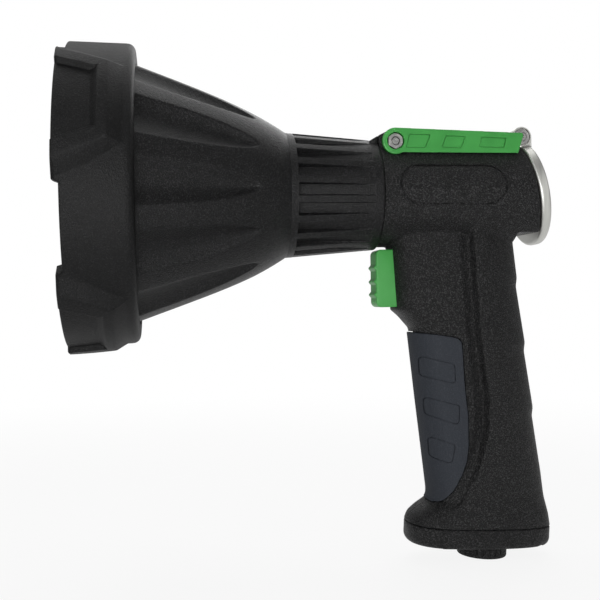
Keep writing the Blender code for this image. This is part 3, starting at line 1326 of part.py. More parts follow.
slant_normal = Vector((math.cos(TUBE_SLANT), 0, math.sin(TUBE_SLANT)))
slant_down = Vector((math.sin(TUBE_SLANT), 0, -math.cos(TUBE_SLANT)))
disc_z = hinge_z - DISC_DROP
disc_middle = Vector((tube_rear - disc_z * math.tan(TUBE_SLANT), 0, disc_z)) + slant_normal * PLAY
disc_turn = (0, math.pi / 2 - TUBE_SLANT, 0)
disc = turned(
    "disc_blank",
    [(0, 0), (0, DISC_RADIUS - DISC_EDGE), (DISC_EDGE, DISC_RADIUS),
        (DISC_THICKNESS - DISC_EDGE, DISC_RADIUS),
     (DISC_THICKNESS, DISC_RADIUS - DISC_EDGE), (DISC_THICKNESS, 0)],
    FINE_STEPS, disc_middle, disc_turn,
)
neck_low = disc_middle - slant_down * (DISC_RADIUS * FOOT_NECK_SHARE)
rim = neck_low + slant_normal * DISC_THICKNESS
ear_lines = [
    (neck_low.x, neck_low.z), (rim.x, rim.z),
    *ring_of(EAR_RADIUS, (hinge_x, hinge_z), 11, -math.pi * 0.02, math.pi * 1.02),
    *ring_of(EAR_RADIUS, (hinge_x, hinge_z), 5, math.pi * 1.12, math.pi * 1.45),
]
neck = plate("foot_neck", ear_lines, -EAR_OUTER, EAR_OUTER)
join(disc, neck)
behind = box(
    "behind_body", disc_middle + Vector((-EAR_RADIUS * 3, -DISC_RADIUS, -DISC_RADIUS * 2)),
    disc_middle + Vector((0, DISC_RADIUS, hinge_z - EAR_RADIUS - disc_z)), (0, -TUBE_SLANT, 0), disc_middle,
)
ear_gap = TONGUE_HALF_WIDTH + CLEARANCE
cut(
    disc,
    behind,
    rod("tongue_room", TONGUE_RADIUS + PLAY, -ear_gap, ear_gap, (hinge_x, 0, hinge_z), "Y", FINE_STEPS),
    box(
        "ear_gap", (hinge_x - EAR_RADIUS * 2, -ear_gap, hinge_z - TONGUE_RADIUS - PLAY),
        (hinge_x + EAR_RADIUS * 2, ear_gap, hinge_z + EAR_RADIUS * 2),
    ),
    rod("foot_bore", FOOT_SCREW_RADIUS + CLEARANCE, -EAR_OUTER - OVERRUN, EAR_OUTER + OVERRUN,
        (hinge_x, 0, hinge_z)),
    rod(
        "washer_seat", WASHER_RADIUS + CLEARANCE, -EAR_OUTER - OVERRUN,
        -EAR_OUTER + WASHER_THICKNESS + CLEARANCE, (hinge_x, 0, hinge_z)
    ),
    rod(
        "foot_nut_seat", (FOOT_NUT_FLATS / 2 + CLEARANCE) / math.cos(math.pi / 6),
        EAR_OUTER - FOOT_NUT_HEIGHT - CLEARANCE,
        EAR_OUTER + OVERRUN, (hinge_x, 0, hinge_z), "Y", 6,
    ),
)
magnet_seat = turned(
    "magnet_seat",
    [(DISC_THICKNESS - FOOT_RECESS_DEPTH, 0), (DISC_THICKNESS - FOOT_RECESS_DEPTH, FOOT_RECESS_RADIUS),
     (DISC_THICKNESS + OVERRUN, FOOT_RECESS_RADIUS), (DISC_THICKNESS + OVERRUN, 0)],
    FINE_STEPS, disc_middle, disc_turn,
)
cut(disc, magnet_seat)
finish(disc, "foot_disc", aluminium, foot_body)

magnet = turned(
    "magnet_blank",
    [(DISC_THICKNESS - FOOT_RECESS_DEPTH + CLEARANCE, 0),
        (DISC_THICKNESS - FOOT_RECESS_DEPTH + CLEARANCE, FOOT_RECESS_RADIUS - CLEARANCE),
     (DISC_THICKNESS - CLEARANCE, FOOT_RECESS_RADIUS - CLEARANCE), (DISC_THICKNESS - CLEARANCE, 0)],
    FINE_STEPS, disc_middle, disc_turn,
)
finish(magnet, "foot_magnet", magnet_grey, foot_body)

# Serrated ring, screw and nut on the rear hinge's axis.
teeth = []
for k in range(WASHER_TEETH * 2):
    turn = math.pi * k / WASHER_TEETH
    radius = WASHER_RADIUS - (WASHER_TOOTH if k % 2 else 0)
    teeth.append((hinge_x + radius * math.cos(turn), hinge_z + radius * math.sin(turn)))
washer = plate("washer_blank", teeth, -EAR_OUTER, -EAR_OUTER + WASHER_THICKNESS)
cut(washer, rod("washer_bore", FOOT_SCREW_RADIUS + CLEARANCE, -EAR_OUTER - OVERRUN, -EAR_OUTER + OVERRUN,
    (hinge_x, 0, hinge_z)))
finish(washer, "foot_washer", aluminium, foot_body)
head_low = -EAR_OUTER - CLEARANCE
foot_screw = turned(
    "foot_screw_blank",
    [(head_low - SCREW_HEAD_HEIGHT / 2, 0), (head_low - SCREW_HEAD_HEIGHT / 2,
        FOOT_SCREW_HEAD * SCREW_SIDE_SHARE), (head_low, FOOT_SCREW_HEAD),
     (head_low, FOOT_SCREW_RADIUS), (EAR_OUTER - CLEARANCE, FOOT_SCREW_RADIUS), (EAR_OUTER - CLEARANCE, 0)],
    SMALL_STEPS // 2, (hinge_x, 0, hinge_z), TURNS["Y"],
)
finish(foot_screw, "foot_screw", steel, foot_body)
foot_nut = rod(
    "foot_nut_blank", FOOT_NUT_FLATS / 2 / math.cos(math.pi / 6), EAR_OUTER - FOOT_NUT_HEIGHT,
    EAR_OUTER - CLEARANCE, (hinge_x, 0, hinge_z), "Y", 6
)
cut(foot_nut, rod("foot_nut_bore", FOOT_SCREW_RADIUS + CLEARANCE, EAR_OUTER - OVERRUN, EAR_OUTER + OVERRUN,
    (hinge_x, 0, hinge_z)))
finish(foot_nut, "foot_nut", steel, foot_body)
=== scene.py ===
import math

import bmesh
import bpy
import numpy as np
from mathutils import Matrix, Vector


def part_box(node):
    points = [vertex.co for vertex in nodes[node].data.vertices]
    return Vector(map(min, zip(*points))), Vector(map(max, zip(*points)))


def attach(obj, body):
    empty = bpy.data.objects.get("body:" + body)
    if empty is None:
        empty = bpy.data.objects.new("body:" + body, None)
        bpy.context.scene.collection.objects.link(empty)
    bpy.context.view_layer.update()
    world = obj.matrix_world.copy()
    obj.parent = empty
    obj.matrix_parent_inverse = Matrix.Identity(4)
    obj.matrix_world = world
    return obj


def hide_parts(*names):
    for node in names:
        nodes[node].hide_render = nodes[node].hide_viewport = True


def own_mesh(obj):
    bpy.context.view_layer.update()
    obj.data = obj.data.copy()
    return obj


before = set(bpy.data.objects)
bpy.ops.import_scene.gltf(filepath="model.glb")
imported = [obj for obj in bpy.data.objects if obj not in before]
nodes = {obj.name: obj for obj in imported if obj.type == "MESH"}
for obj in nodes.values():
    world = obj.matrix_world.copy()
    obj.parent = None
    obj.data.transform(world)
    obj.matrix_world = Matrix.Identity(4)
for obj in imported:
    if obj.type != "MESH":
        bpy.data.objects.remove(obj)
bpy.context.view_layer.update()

# Camera. It stands level with the middle of the lamp, a little towards the head, and is rolled so that the
# barrel climbs slightly to the right.
bezel_low, bezel_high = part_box("bezel_ring")
head_reach = 0.1130
lamp = Vector((bezel_low.x + head_reach, 0, (bezel_low.z + bezel_high.z) / 2))
aim = lamp + Vector((-0.0008, 0, -0.05205))
camera_direction = Vector((-0.139, -0.990, 0)).normalized()
camera_distance = 0.475
camera_roll = math.radians(0.89)
camera_data = bpy.data.cameras.new("camera")
camera_data.lens = 57
camera_data.sensor_width = 36
camera_data.clip_start = 0.01
camera = bpy.data.objects.new("camera", camera_data)
camera.location = aim + camera_direction * camera_distance
facing = (-camera_direction).to_track_quat("-Z", "Y").to_matrix()
camera.rotation_mode = "QUATERNION"
camera.rotation_quaternion = (facing @ Matrix.Rotation(-camera_roll, 3, "Z")).to_quaternion()
bpy.context.scene.collection.objects.link(camera)
bpy.context.scene.camera = camera
bpy.context.scene.view_settings.view_transform = "Standard"

# Floor and light. A pale sweep under large soft lamps: the floor shows white to the camera and to gloss,
# and keeps the lamp's shadow.


class Flow:
    """One output in a tree of nodes. A sum on flows adds the Math node that works it out."""

    def __init__(self, owner, socket):
        self.owner = owner
        self.socket = socket

    def sum(self, operation, first, second):
        return self.owner.add("ShaderNodeMath", {"operation": operation}, {0: first, 1: second})

    def out(self, name):
        return Flow(self.owner, self.socket.node.outputs[name])

    def __add__(self, other):
        return self.sum("ADD", self, other)

    def __radd__(self, other):
        return self.sum("ADD", other, self)

    def __sub__(self, other):
        return self.sum("SUBTRACT", self, other)

    def __mul__(self, other):
        return self.sum("MULTIPLY", self, other)

    def between(self, low, high):
        """0 under low, 1 over high, and smooth between them."""
        settings = {"interpolation_type": "SMOOTHSTEP", "clamp": True}
        inputs = {"Value": self, "From Min": low, "From Max": high}
        return self.owner.add("ShaderNodeMapRange", settings, inputs)


class Nodes:
    """The nodes of one tree."""

    def __init__(self, tree):
        self.tree = tree

    def add(self, kind, settings=None, inputs=None, output=0):
        node = self.tree.nodes.new(kind)
        for key, value in (settings or {}).items():
            setattr(node, key, value)
        for key, value in (inputs or {}).items():
            self.join(node.inputs[key], value)
        return Flow(self, node.outputs[output])

    def join(self, socket, value):
        if isinstance(value, Flow):
            self.tree.links.new(value.socket, socket)
        else:
            socket.default_value = value


class Finish(Nodes):
    """A material and its nodes, in the places of the lamp's own frame."""

    def __init__(self, name, colour, roughness, metallic=0.0, **constants):
        self.material = bpy.data.materials.new(name)
        self.material.use_nodes = True
        super().__init__(self.material.node_tree)
        self.skin = self.tree.nodes["Principled BSDF"]
        self.feed("Base Color", (*colour, 1))
        self.feed("Roughness", roughness)
        self.feed("Metallic", metallic)
        for socket, value in constants.items():
            self.feed(socket.replace("_", " "), value)

    def feed(self, socket, value):
        self.join(self.skin.inputs[socket], value)

    def place(self):
        return self.add("ShaderNodeTexCoord").out("Object")

    def stretched(self, scale):
        return self.add("ShaderNodeMapping", None, {"Vector": self.place(), "Scale": scale})

    def noise(self, scale, detail=2.0, roughness=0.5, vector=None):
        inputs = {"Vector": vector or self.place(), "Scale": scale, "Detail": detail, "Roughness": roughness}
        return self.add("ShaderNodeTexNoise", None, inputs)

    def cells(self, scale, randomness=1.0):
        inputs = {"Vector": self.place(), "Scale": scale, "Randomness": randomness}
        return self.add("ShaderNodeTexVoronoi", None, inputs)

    def blend(self, share, first, second):
        inputs = {0: share, 6: (*first, 1), 7: (*second, 1)}
        return self.add("ShaderNodeMix", {"data_type": "RGBA"}, inputs, 2)

    def relief(self, height, distance):
        self.feed("Normal", self.add("ShaderNodeBump", None, {"Height": height, "Distance": distance}))

    def dress(self, share, first, second, roughness, height, distance):
        """Feeds in colour, roughness and relief, and hands back the material."""
        self.feed("Base Color", self.blend(share, first, second))
        self.feed("Roughness", roughness)
        self.relief(height, distance)
        return self.material


floor_finish = Finish("studio_floor", (0.93, 0.93, 0.93), 0.9)
ray = floor_finish.add("ShaderNodeLightPath")
seen = ray.out("Is Camera Ray") + ray.out("Is Glossy Ray") * 0.40 + ray.out("Is Transmission Ray")
away = floor_finish.add("ShaderNodeVectorMath", {"operation": "LENGTH"}, {0: floor_finish.place()}, "Value")
whiteness = 0.88 + away.between(0.25, 0.90) * 0.12
glow = floor_finish.add("ShaderNodeEmission", None, {"Color": (1, 1, 1, 1), "Strength": 1.0})
lit = Flow(floor_finish, floor_finish.skin.outputs[0])
white_share = seen.sum("MINIMUM", seen, 1.0) * whiteness
mixed = floor_finish.add("ShaderNodeMixShader", None, {0: white_share, 1: lit, 2: glow})
floor_finish.join(floor_finish.tree.nodes["Material Output"].inputs["Surface"], mixed)
floor_half = 6.0
floor_corners = [(x * floor_half, y * floor_half, 0) for x, y in ((-1, -1), (1, -1), (1, 1), (-1, 1))]
floor_mesh = bpy.data.meshes.new("floor")
floor_mesh.from_pydata(floor_corners, [], [(0, 1, 2, 3)])
floor_mesh.materials.append(floor_finish.material)
floor = bpy.data.objects.new("floor", floor_mesh)
bpy.context.scene.collection.objects.link(floor)

world = bpy.data.worlds.new("studio")
world.use_nodes = True
bpy.context.scene.world = world
sky = Nodes(world.node_tree)
background = sky.tree.nodes["Background"]
background.inputs["Color"].default_value = (1, 1, 1, 1)
sky_ray = sky.add("ShaderNodeLightPath")
direct = sky_ray.sum("MAXIMUM", sky_ray.out("Is Camera Ray"), sky_ray.out("Is Transmission Ray"))
seen_by_gloss = 0.15
mirrored = sky_ray.out("Is Glossy Ray") * seen_by_gloss + direct
strength = sky.add("ShaderNodeMapRange", None, {"Value": mirrored, "To Min": 0.11, "To Max": 1.0})
sky.join(background.inputs["Strength"], strength)

studio_lamps = (
    ("camera_lamp", (-0.22, -0.92, 0.10), (0.40, 0.26), 4.6),
    ("top_lamp", (-0.05, 0.30, 1.05), (1.0, 0.8), 4.0),
    ("front_lamp", (-0.80, -0.90, 0.72), (0.7, 0.8), 2.2),
    ("side_lamp", (0.85, -0.90, 0.62), (0.6, 0.8), 1.5),
    ("back_lamp", (0.50, 0.95, 0.70), (0.9, 0.7), 4.0),
)
for name, place, (width, height), power in studio_lamps:
    light = bpy.data.lights.new(name, "AREA")
    light.shape = "RECTANGLE"
    light.size = width
    light.size_y = height
    light.energy = power
    held = bpy.data.objects.new(name, light)
    held.location = place
    held.rotation_mode = "QUATERNION"
    held.rotation_quaternion = (lamp - Vector(place)).to_track_quat("-Z", "Y")
    bpy.context.scene.collection.objects.link(held)

# Bezel ring. A thick moulded bumper in matt black that guards the lens, with four raised lugs that stand
# proud to the front and a shallow pocket in each. It slides over the collar of the head.


def eased(value, soft):
    """value kept between 0 and 1, with both corners rounded off over soft."""

    def bent(v):
        return np.where(v < -soft, 0.0, np.where(v > soft, v, (v + soft) ** 2 / (4 * soft)))

    return bent(value) - bent(value - 1)


def made(name, points, faces):
    """A piece from points and faces, its faces turned outwards and shaded smooth."""
    mesh = bpy.data.meshes.new(name)
    mesh.from_pydata([tuple(p) for p in points], [], [tuple(f) for f in faces])
    work = bmesh.new()
    work.from_mesh(mesh)
    bmesh.ops.recalc_face_normals(work, faces=work.faces)
    work.to_mesh(mesh)
    work.free()
    mesh.shade_smooth()
    mesh.set_sharp_from_angle(angle=math.radians(38))
    piece = bpy.data.objects.new(name, mesh)
    bpy.context.scene.collection.objects.link(piece)
    return piece


def spun(name, rows, turns):
    """A closed skin round the beam. A row is an (along, radius), each one value or a value for each turn."""
    along, radius = (np.array([np.broadcast_to(row[k], turns.shape) for row in rows]) for k in (0, 1))
    skin = np.stack([along, radius * np.cos(turns), radius * np.sin(turns)], axis=-1)
    index = np.arange(radius.size).reshape(radius.shape)
    below = np.roll(index, -1, axis=0)
    beside = np.roll(index, -1, axis=1)
    faces = np.stack([index, beside, np.roll(below, -1, axis=1), below], axis=-1)
    return made(name, skin.reshape(-1, 3) + np.array(lamp), faces.reshape(-1, 4).tolist())


def settle(piece, body, slot, material, *stands_for):
    """Gives a piece its finish and its body, and hides the nodes that it stands for; slot is not used."""
    piece.data.materials.clear()
    piece.data.materials.append(material)
    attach(piece, body)
    if stands_for:
        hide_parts(*stands_for)
    return piece


def mould_black(name, colour, roughness, grain, depth, painted_glint_amount):
    """Moulded black plastic: a fine even relief grain, with painted glints as lighter flecks in its colour.
    """
    finish = Finish(name, colour, roughness, Specular_IOR_Level=0.24)
    coarse = finish.noise(grain, 3.0, 0.6)
    fine = finish.noise(grain * 2.3, 2.0, 0.5)
    cloud = finish.noise(60, 2.0, 0.5)
    pebble = finish.cells(grain * 0.85)
    # Painted glints: the base colour turns lighter in scattered flecks where the grain would catch the lamps.
    painted_glint = (coarse * 0.6 + fine * 0.4).between(0.51, 0.59)
    painted_glint_share = painted_glint * painted_glint_amount * (0.7 + cloud * 0.6)
    painted_glint_colour = tuple(c * 4.0 + 0.042 for c in colour)
    rough = roughness + (coarse - 0.5) * 0.22 - painted_glint * 0.10
    return finish.dress(painted_glint_share, colour, painted_glint_colour, rough, coarse * 0.55 + fine * 0.25 + pebble * 0.35, depth)


bezel_black = mould_black("bezel_black", (0.0018, 0.0018, 0.0020), 0.52, 1700, 0.00034, 0.26)

ring_radius, ring_draft, ring_length, ring_wall, ring_gap = 0.0724, 0.0006, 0.0307, 0.0096, 0.0004
cone_front = -0.0799
ring_rear = cone_front + ring_gap
ring_front = ring_rear - ring_length
ring_bore = ring_radius - ring_wall
ring_slope = ring_draft / ring_length
rear_round, front_round, front_pull = 0.0036, 0.0009, 0.010
# A lug's half widths in degrees, on its plateau and at its foot, at shares of its length from the front.
lug_stations = (0.0, 0.20, 0.45, 0.76, 1.0)
lug_tops = (23.2, 21.4, 18.6, 15.6, 12.0)
lug_feet = (31.6, 28.0, 24.6, 20.3, 17.0)
lug_height, lug_reach, lug_ramp, lug_turn = 0.0044, 0.0028, 0.0066, math.radians(28)
lug_end = ring_rear - rear_round - lug_height / 6
pocket_end, pocket_ramp, pocket_depth, pocket_wall = -0.0975, 0.0031, 0.0025, 0.0007
pocket_halves = (17.2, 12.4)
block_radius, block_wall, block_edge = ring_bore + 0.0032, 0.0011, 0.0004
lip_width, lip_length, lip_bevel, mouth_flare = 0.0048, 0.0032, 0.0011, 0.0055
lip_radius = ring_bore - lip_width
mouth_radius = lip_radius + mouth_flare
lip_rear = ring_front + lip_length

lug_span = 33
around_lug = np.linspace(-lug_span, lug_span, 230)
between_lugs = np.linspace(lug_span, 90 - lug_span, 14)[1:-1]
quarter = np.radians(np.concatenate([around_lug, between_lugs]))
turns = np.concatenate([math.pi - lug_turn + quarter + k * math.pi / 2 for k in range(4)])
off_lug = np.tile(np.concatenate([np.radians(np.abs(around_lug)), np.full(len(between_lugs), 1.0)]), 4)


def lug_half(x, widths):
    """Half a lug's angle at a place along the axis, from a row of half widths."""
    share = (x - (ring_front - lug_reach)) / (lug_end - (ring_front - lug_reach))
    return math.radians(np.interp(share, lug_stations, widths))


def lug_mask(x):
    """How far up the lug's side each turn is, from 0 on the ring to 1 on the plateau."""
    top, foot = lug_half(x, lug_tops), lug_half(x, lug_feet)
    return eased((foot - off_lug) / (foot - top), 0.16)


def lug_block(x):
    """Which turns stand forward of the ring's face: the whole foot of each lug, with a steep side."""
    return eased((lug_half(x, lug_feet) - off_lug) * ring_radius / block_wall, 0.2)


def lug_rise(x):
    """Height of lug and pocket over the ring at a place along the axis."""
    lift = eased((lug_end - x) / lug_ramp, 0.12)
    half = math.radians(np.interp(x, (ring_front - lug_reach, pocket_end), pocket_halves))
    side = eased((half - off_lug) * ring_radius / pocket_wall, 0.25)
    end = eased((pocket_end + pocket_ramp - x) / pocket_ramp, 0.12)
    return lug_height * np.minimum(lug_mask(x), lift) - pocket_depth * np.minimum(side, end)


def ring_at(x):
    return ring_radius - ring_slope * (x - ring_front)


rows = [(ring_rear, ring_bore)]
for t in np.linspace(0, math.pi / 2, 8):
    x = ring_rear - rear_round * (1 - math.sin(math.pi / 2 - t))
    rows.append((x, ring_at(ring_rear) - rear_round + rear_round * math.sin(t)))
for x in np.linspace(ring_rear - rear_round - block_edge, ring_front + front_round, 60):
    pull = max(0.0, 1 - (x - ring_front) / front_pull)
    rows.append((x - (lug_reach * pull) * lug_block(x), ring_at(x) + lug_rise(x)))
rise = lug_rise(ring_front - lug_reach / 2)
reach = lug_reach * lug_block(ring_front)
for t in np.linspace(0, math.pi / 2, 5)[1:]:
    x = ring_front + front_round * (1 - math.sin(t)) - reach
    rows.append((x, ring_at(ring_front) + rise - front_round * (1 - math.cos(t))))
outer_edge = ring_at(ring_front) + rise - front_round
for share in np.linspace(0, 1, 8)[1:]:
    rows.append((ring_front - reach, outer_edge + (block_radius - outer_edge) * share))
for share in (0.15, 0.5, 0.85, 1.0):
    rows.append((ring_front - reach * (1 - share), block_radius - block_edge * share))
rows.append((ring_front, mouth_radius))
for share in np.linspace(0, 1, 5)[1:]:
    x = ring_front + (lip_rear - lip_bevel - ring_front) * share
    rows.append((x, mouth_radius + (lip_radius - mouth_radius) * share))
bezel = spun("bezel_shell", rows + [(lip_rear, lip_radius), (lip_rear, ring_bore)], turns)
settle(bezel, "lamp", "bumper_black", bezel_black, "bezel_ring")

# Head housing. One black moulding: a cone with twelve hollow flutes that run out before the waist, and a
# straight neck with twenty long slots that let heat out.
head_black = mould_black("head_black", (0.0026, 0.0026, 0.0029), 0.38, 1700, 0.00040, 0.55)

cone_length, cone_radius = 0.0719, 0.0622
neck_front = cone_front + cone_length
neck_rear = neck_front + 0.0453
neck_front_radius, neck_rear_radius, neck_bore = 0.0310, 0.0274, 0.0240
flute_count, flute_depth, flute_length, flute_share, crisp = 12, 0.0040, 0.0560, 0.66, 0.00022
head_wall = 0.0030
# The cone's fall from its front radius to the neck's, as shares, drawn as one smooth curve.
cone_places = (0.0, 0.22, 0.413, 0.58, 0.741, 0.87, 1.0)
cone_falls = (0.0, 0.183, 0.349, 0.500, 0.667, 0.82, 1.0)
cone_fit = np.polyfit(cone_places, cone_falls, 4)


def cone_at(x):
    """Outer radius of the cone between its flutes."""
    fall = np.polyval(cone_fit, (x - cone_front) / cone_length)
    return cone_radius - (cone_radius - neck_front_radius) * fall


flute_steps = 42
pitch = 2 * math.pi / flute_count
turns = np.arange(flute_count * flute_steps) * pitch / flute_steps
off_flute = np.abs((turns + pitch / 2) % pitch - pitch / 2)


def flute_at(x):
    """Depth of the flutes at a place along the axis, with their edges just broken."""
    run = (x - cone_front) / flute_length
    full = pitch / 2 * flute_share
    spread = full * math.sqrt(max(1 - run**3, 0.0))
    if spread < 0.004:
        return np.zeros_like(off_flute)
    depth = flute_depth * min(1.0, spread / full * 1.05)
    dish = depth * (1 - (off_flute / spread) ** 2)
    return (dish + np.sqrt(dish**2 + crisp**2)) / 2


cone_xs = np.concatenate([
    np.linspace(cone_front, neck_front - 0.012, 60), np.linspace(neck_front - 0.0116, neck_front, 14),
])
rows = [(cone_front, cone_radius - flute_depth - head_wall)]
rows += [(x, cone_at(x) - flute_at(x)) for x in cone_xs]
rows += [(x, cone_at(x) - flute_depth - head_wall) for x in np.linspace(neck_front, cone_front, 10)[:-1]]
cone = spun("head_cone", rows, turns)
settle(cone, "lamp", "black_smooth_plastic", head_black, "head_housing")

slot_count, slot_half, slot_floor, slot_radius, slot_wall = 20, 0.00265, 0.0276, 0.0285, 0.00035
slot_start = neck_front + 0.0037
slot_end = slot_start + 0.0369
slot_pitch = 2 * math.pi / slot_count
slot_edge = slot_half / slot_radius
one_slot = np.concatenate([
    np.linspace(-0.5, -0.38, 4)[1:], np.linspace(-0.35, -0.25, 10), np.linspace(-0.2, 0.2, 7),
    np.linspace(0.25, 0.35, 10), np.linspace(0.38, 0.5, 4),
])
turns = np.concatenate([(one_slot + k) * slot_pitch for k in range(slot_count)])
off_slot = np.abs((turns + slot_pitch / 2) % slot_pitch - slot_pitch / 2)


def neck_at(x):
    return float(np.interp(x, (neck_front, neck_rear), (neck_front_radius, neck_rear_radius)))


neck_round, lead = 0.0006, 0.0004
neck_xs = np.concatenate([
    [neck_front - lead], np.linspace(neck_front, slot_start - 0.0006, 5),
    np.linspace(slot_start - lead, slot_start + lead, 9),
    np.linspace(slot_start + 0.001, slot_end - 0.001, 24),
    np.linspace(slot_end - lead, slot_end + lead, 9),
    np.linspace(slot_end + 0.001, neck_rear - neck_round, 6),
])
rows = [(neck_front - lead, neck_bore)]
for x in neck_xs:
    side = eased((slot_edge - off_slot) * slot_radius / slot_wall + 0.5, 0.25)
    ends = eased(min(x - slot_start, slot_end - x) / slot_wall + 0.5, 0.25)
    cut_depth = max(neck_at(x) - slot_floor, 0.0)
    rows.append((x, neck_at(x) - cut_depth * np.minimum(side, ends)))
for t in np.linspace(0, math.pi / 2, 5)[1:]:
    x = neck_rear - neck_round + neck_round * math.sin(t)
    rows.append((x, neck_at(neck_rear) - neck_round * (1 - math.cos(t))))
neck = spun("head_neck", rows + [(neck_rear, neck_bore)], turns)
settle(neck, "lamp", "black_smooth_plastic", head_black, "head_housing")

# Body shells. Two halves of black moulded plastic, screwed together down the middle: barrel tube, pistol
# handle, and the boss and ramp for the arm. The mould's spark-eroded skin is a relief grain, its glitter
# painted as fine grey glints.


def wrapped(rows, columns):
    """The vertex numbers of rings one after another, and the faces between them."""
    index = np.arange(rows * columns).reshape(rows, columns)
    beside = np.roll(index, -1, axis=1)
    faces = np.stack([index[:-1], beside[:-1], beside[1:], index[1:]], axis=-1)
    return index, beside, faces.reshape(-1, 4).tolist()


def lofted(name, rings):
    """A closed skin over rings of as many points each."""
    index, _, faces = wrapped(len(rings), len(rings[0]))
    faces += [index[0][::-1].tolist(), index[-1].tolist()]
    return made(name, np.array(rings).reshape(-1, 3), faces)


def plate(name, outline, high, low=None):
    """A flat outline of (x, z) points made solid up to y high, from y low or as far on the other side."""
    ends = (-high if low is None else low, high)
    return lofted(name, [[(x, y, z) for x, z in outline] for y in ends])


def block(name, low, high, tilt=0.0, about=(0, 0, 0)):
    """A block between two corners, given from a place and turned about it."""
    spin = Matrix.Rotation(tilt, 3, "Y")
    corners = ((low[0], low[1]), (high[0], low[1]), (high[0], high[1]), (low[0], high[1]))
    rings = [[Vector(about) + spin @ Vector((x, y, z)) for x, y in corners] for z in (low[2], high[2])]
    return lofted(name, rings)


def turned(name, profile, steps, place=(0, 0, 0), turn=None):
    """A solid of revolution about its own Z from (along, radius) points, closed flat at both ends."""
    spin = turn or Matrix.Rotation(math.pi / 2, 3, "Y")
    angles = np.linspace(0, 2 * math.pi, steps, endpoint=False)
    points = [
        (radius * math.cos(a), radius * math.sin(a), along) for along, radius in profile for a in angles
    ]
    index, beside, faces = wrapped(len(profile), steps)
    first, last = len(points), len(points) + 1
    points += [(0, 0, profile[0][0]), (0, 0, profile[-1][0])]
    faces += [(first, beside[0][i], index[0][i]) for i in range(steps)]
    faces += [(last, index[-1][i], beside[-1][i]) for i in range(steps)]
    return made(name, [Vector(place) + spin @ Vector(p) for p in points], faces)


across = Matrix.Rotation(-math.pi / 2, 3, "X")


def rod(name, radius, low, high, place=(0, 0, 0), turn=None, steps=40):
    return turned(name, [(low, radius), (high, radius)], steps, place, turn)


def worked(target, operation, *tools, keep=False):
    """Joins, cuts or trims a blank with its tools, which are used up unless they are kept."""
    for tool in tools:
        step = target.modifiers.new(tool.name, "BOOLEAN")
        step.operation = operation
        step.solver = "MANIFOLD"
        step.object = tool
    return settled(target, *(() if keep else tools))


def settled(target, *tools):
    """The blank as its modifiers leave it, with the used tools cleared away."""
    bpy.context.view_layer.update()
    shape = bpy.data.meshes.new_from_object(target.evaluated_get(bpy.context.evaluated_depsgraph_get()))
    target.modifiers.clear()
    target.data = shape
    for tool in tools:
        bpy.data.objects.remove(tool)
    return target


def bevelled(target, width, segments, angle=30):
    """Rounds the edges of a blank that are sharper than an angle."""
    edges = target.modifiers.new("edges", "BEVEL")
    edges.width = width
    edges.segments = segments
    edges.limit_method = "ANGLE"
    edges.angle_limit = math.radians(angle)
    return settled(target)


def softened(target, grain, passes):
    """Rounds every edge and inner corner of a blank as a mould does, by about twice the grain."""
    even = target.modifiers.new("even", "REMESH")
    even.mode = "VOXEL"
    even.voxel_size = grain
    smooth = target.modifiers.new("smooth", "SMOOTH")
    smooth.factor = 0.5
    smooth.iterations = passes
    return settled(target)


def placed(target, crease=38):
    """Moves a finished solid from the lamp's own frame to its place, shaded smooth up to its edges."""
    target.data.transform(Matrix.Translation(lamp))
    target.data.shade_smooth()
    target.data.set_sharp_from_angle(angle=math.radians(crease))
    return target


def filleted(outline, radius, steps):
    """The outline with each corner drawn as an arc, as far as its sides allow."""
    drawn = []
    for k, corner in enumerate(outline):
        corner = Vector(corner)
        before = Vector(outline[k - 1]) - corner
        after = Vector(outline[(k + 1) % len(outline)]) - corner
        half = before.angle(after) / 2
        run = min(radius / max(math.tan(half), 0.05), before.length * 0.45, after.length * 0.45)
        start = corner + before.normalized() * run
        end = corner + after.normalized() * run
        for t in np.linspace(0, 1, steps):
            drawn.append(tuple(start * (1 - t) ** 2 + corner * 2 * t * (1 - t) + end * t**2))
    return drawn


def widened(outline, distance):
    """The outline moved outwards by a distance."""
    area = sum(a[0] * b[1] - b[0] * a[1] for a, b in zip(outline, outline[1:] + outline[:1]))
    sign = math.copysign(1.0, area)
    moved = []
    for k, point in enumerate(outline):
        before = (Vector(point) - Vector(outline[k - 1])).normalized()
        after = (Vector(outline[(k + 1) % len(outline)]) - Vector(point)).normalized()
        outward = Vector((after.y, -after.x)) * sign
        miter = (Vector((before.y, -before.x)) * sign + outward).normalized()
        moved.append(tuple(Vector(point) + miter * (distance / miter.dot(outward))))
    return moved


def arc(radius, middle, steps, start, end):
    angles = np.linspace(start, end, steps)
    return [(middle[0] + radius * math.cos(t), middle[1] + radius * math.sin(t)) for t in angles]


body_black = mould_black("body_black", (0.0024, 0.0024, 0.0026), 0.42, 1450, 0.00080, 1.0)

fit, play, overrun = 0.0003, 0.0005, 0.003
tube_front = neck_rear + fit
tube_radius, tube_wall, tube_flat, tube_slant = 0.0260, 0.0024, 0.0200, math.radians(10)
tube_rear = tube_front + 0.0770
bore_end = tube_rear - 0.0130
grip_front = tube_front + 0.0084
grip_depth, grip_drop, grip_half_width, grip_wall = 0.0640, 0.1668, 0.0200, 0.0024
grip_middle = grip_front + grip_depth * 0.67
seam_tilt = math.radians(3.62)
crease_run, crease_dip = 0.0023, 0.0016
palm_top, palm_pitch, palm_count = 0.0424, 0.0332, 3
palm_step, palm_run = 0.0011, 0.0042
pad_room = 0.0023
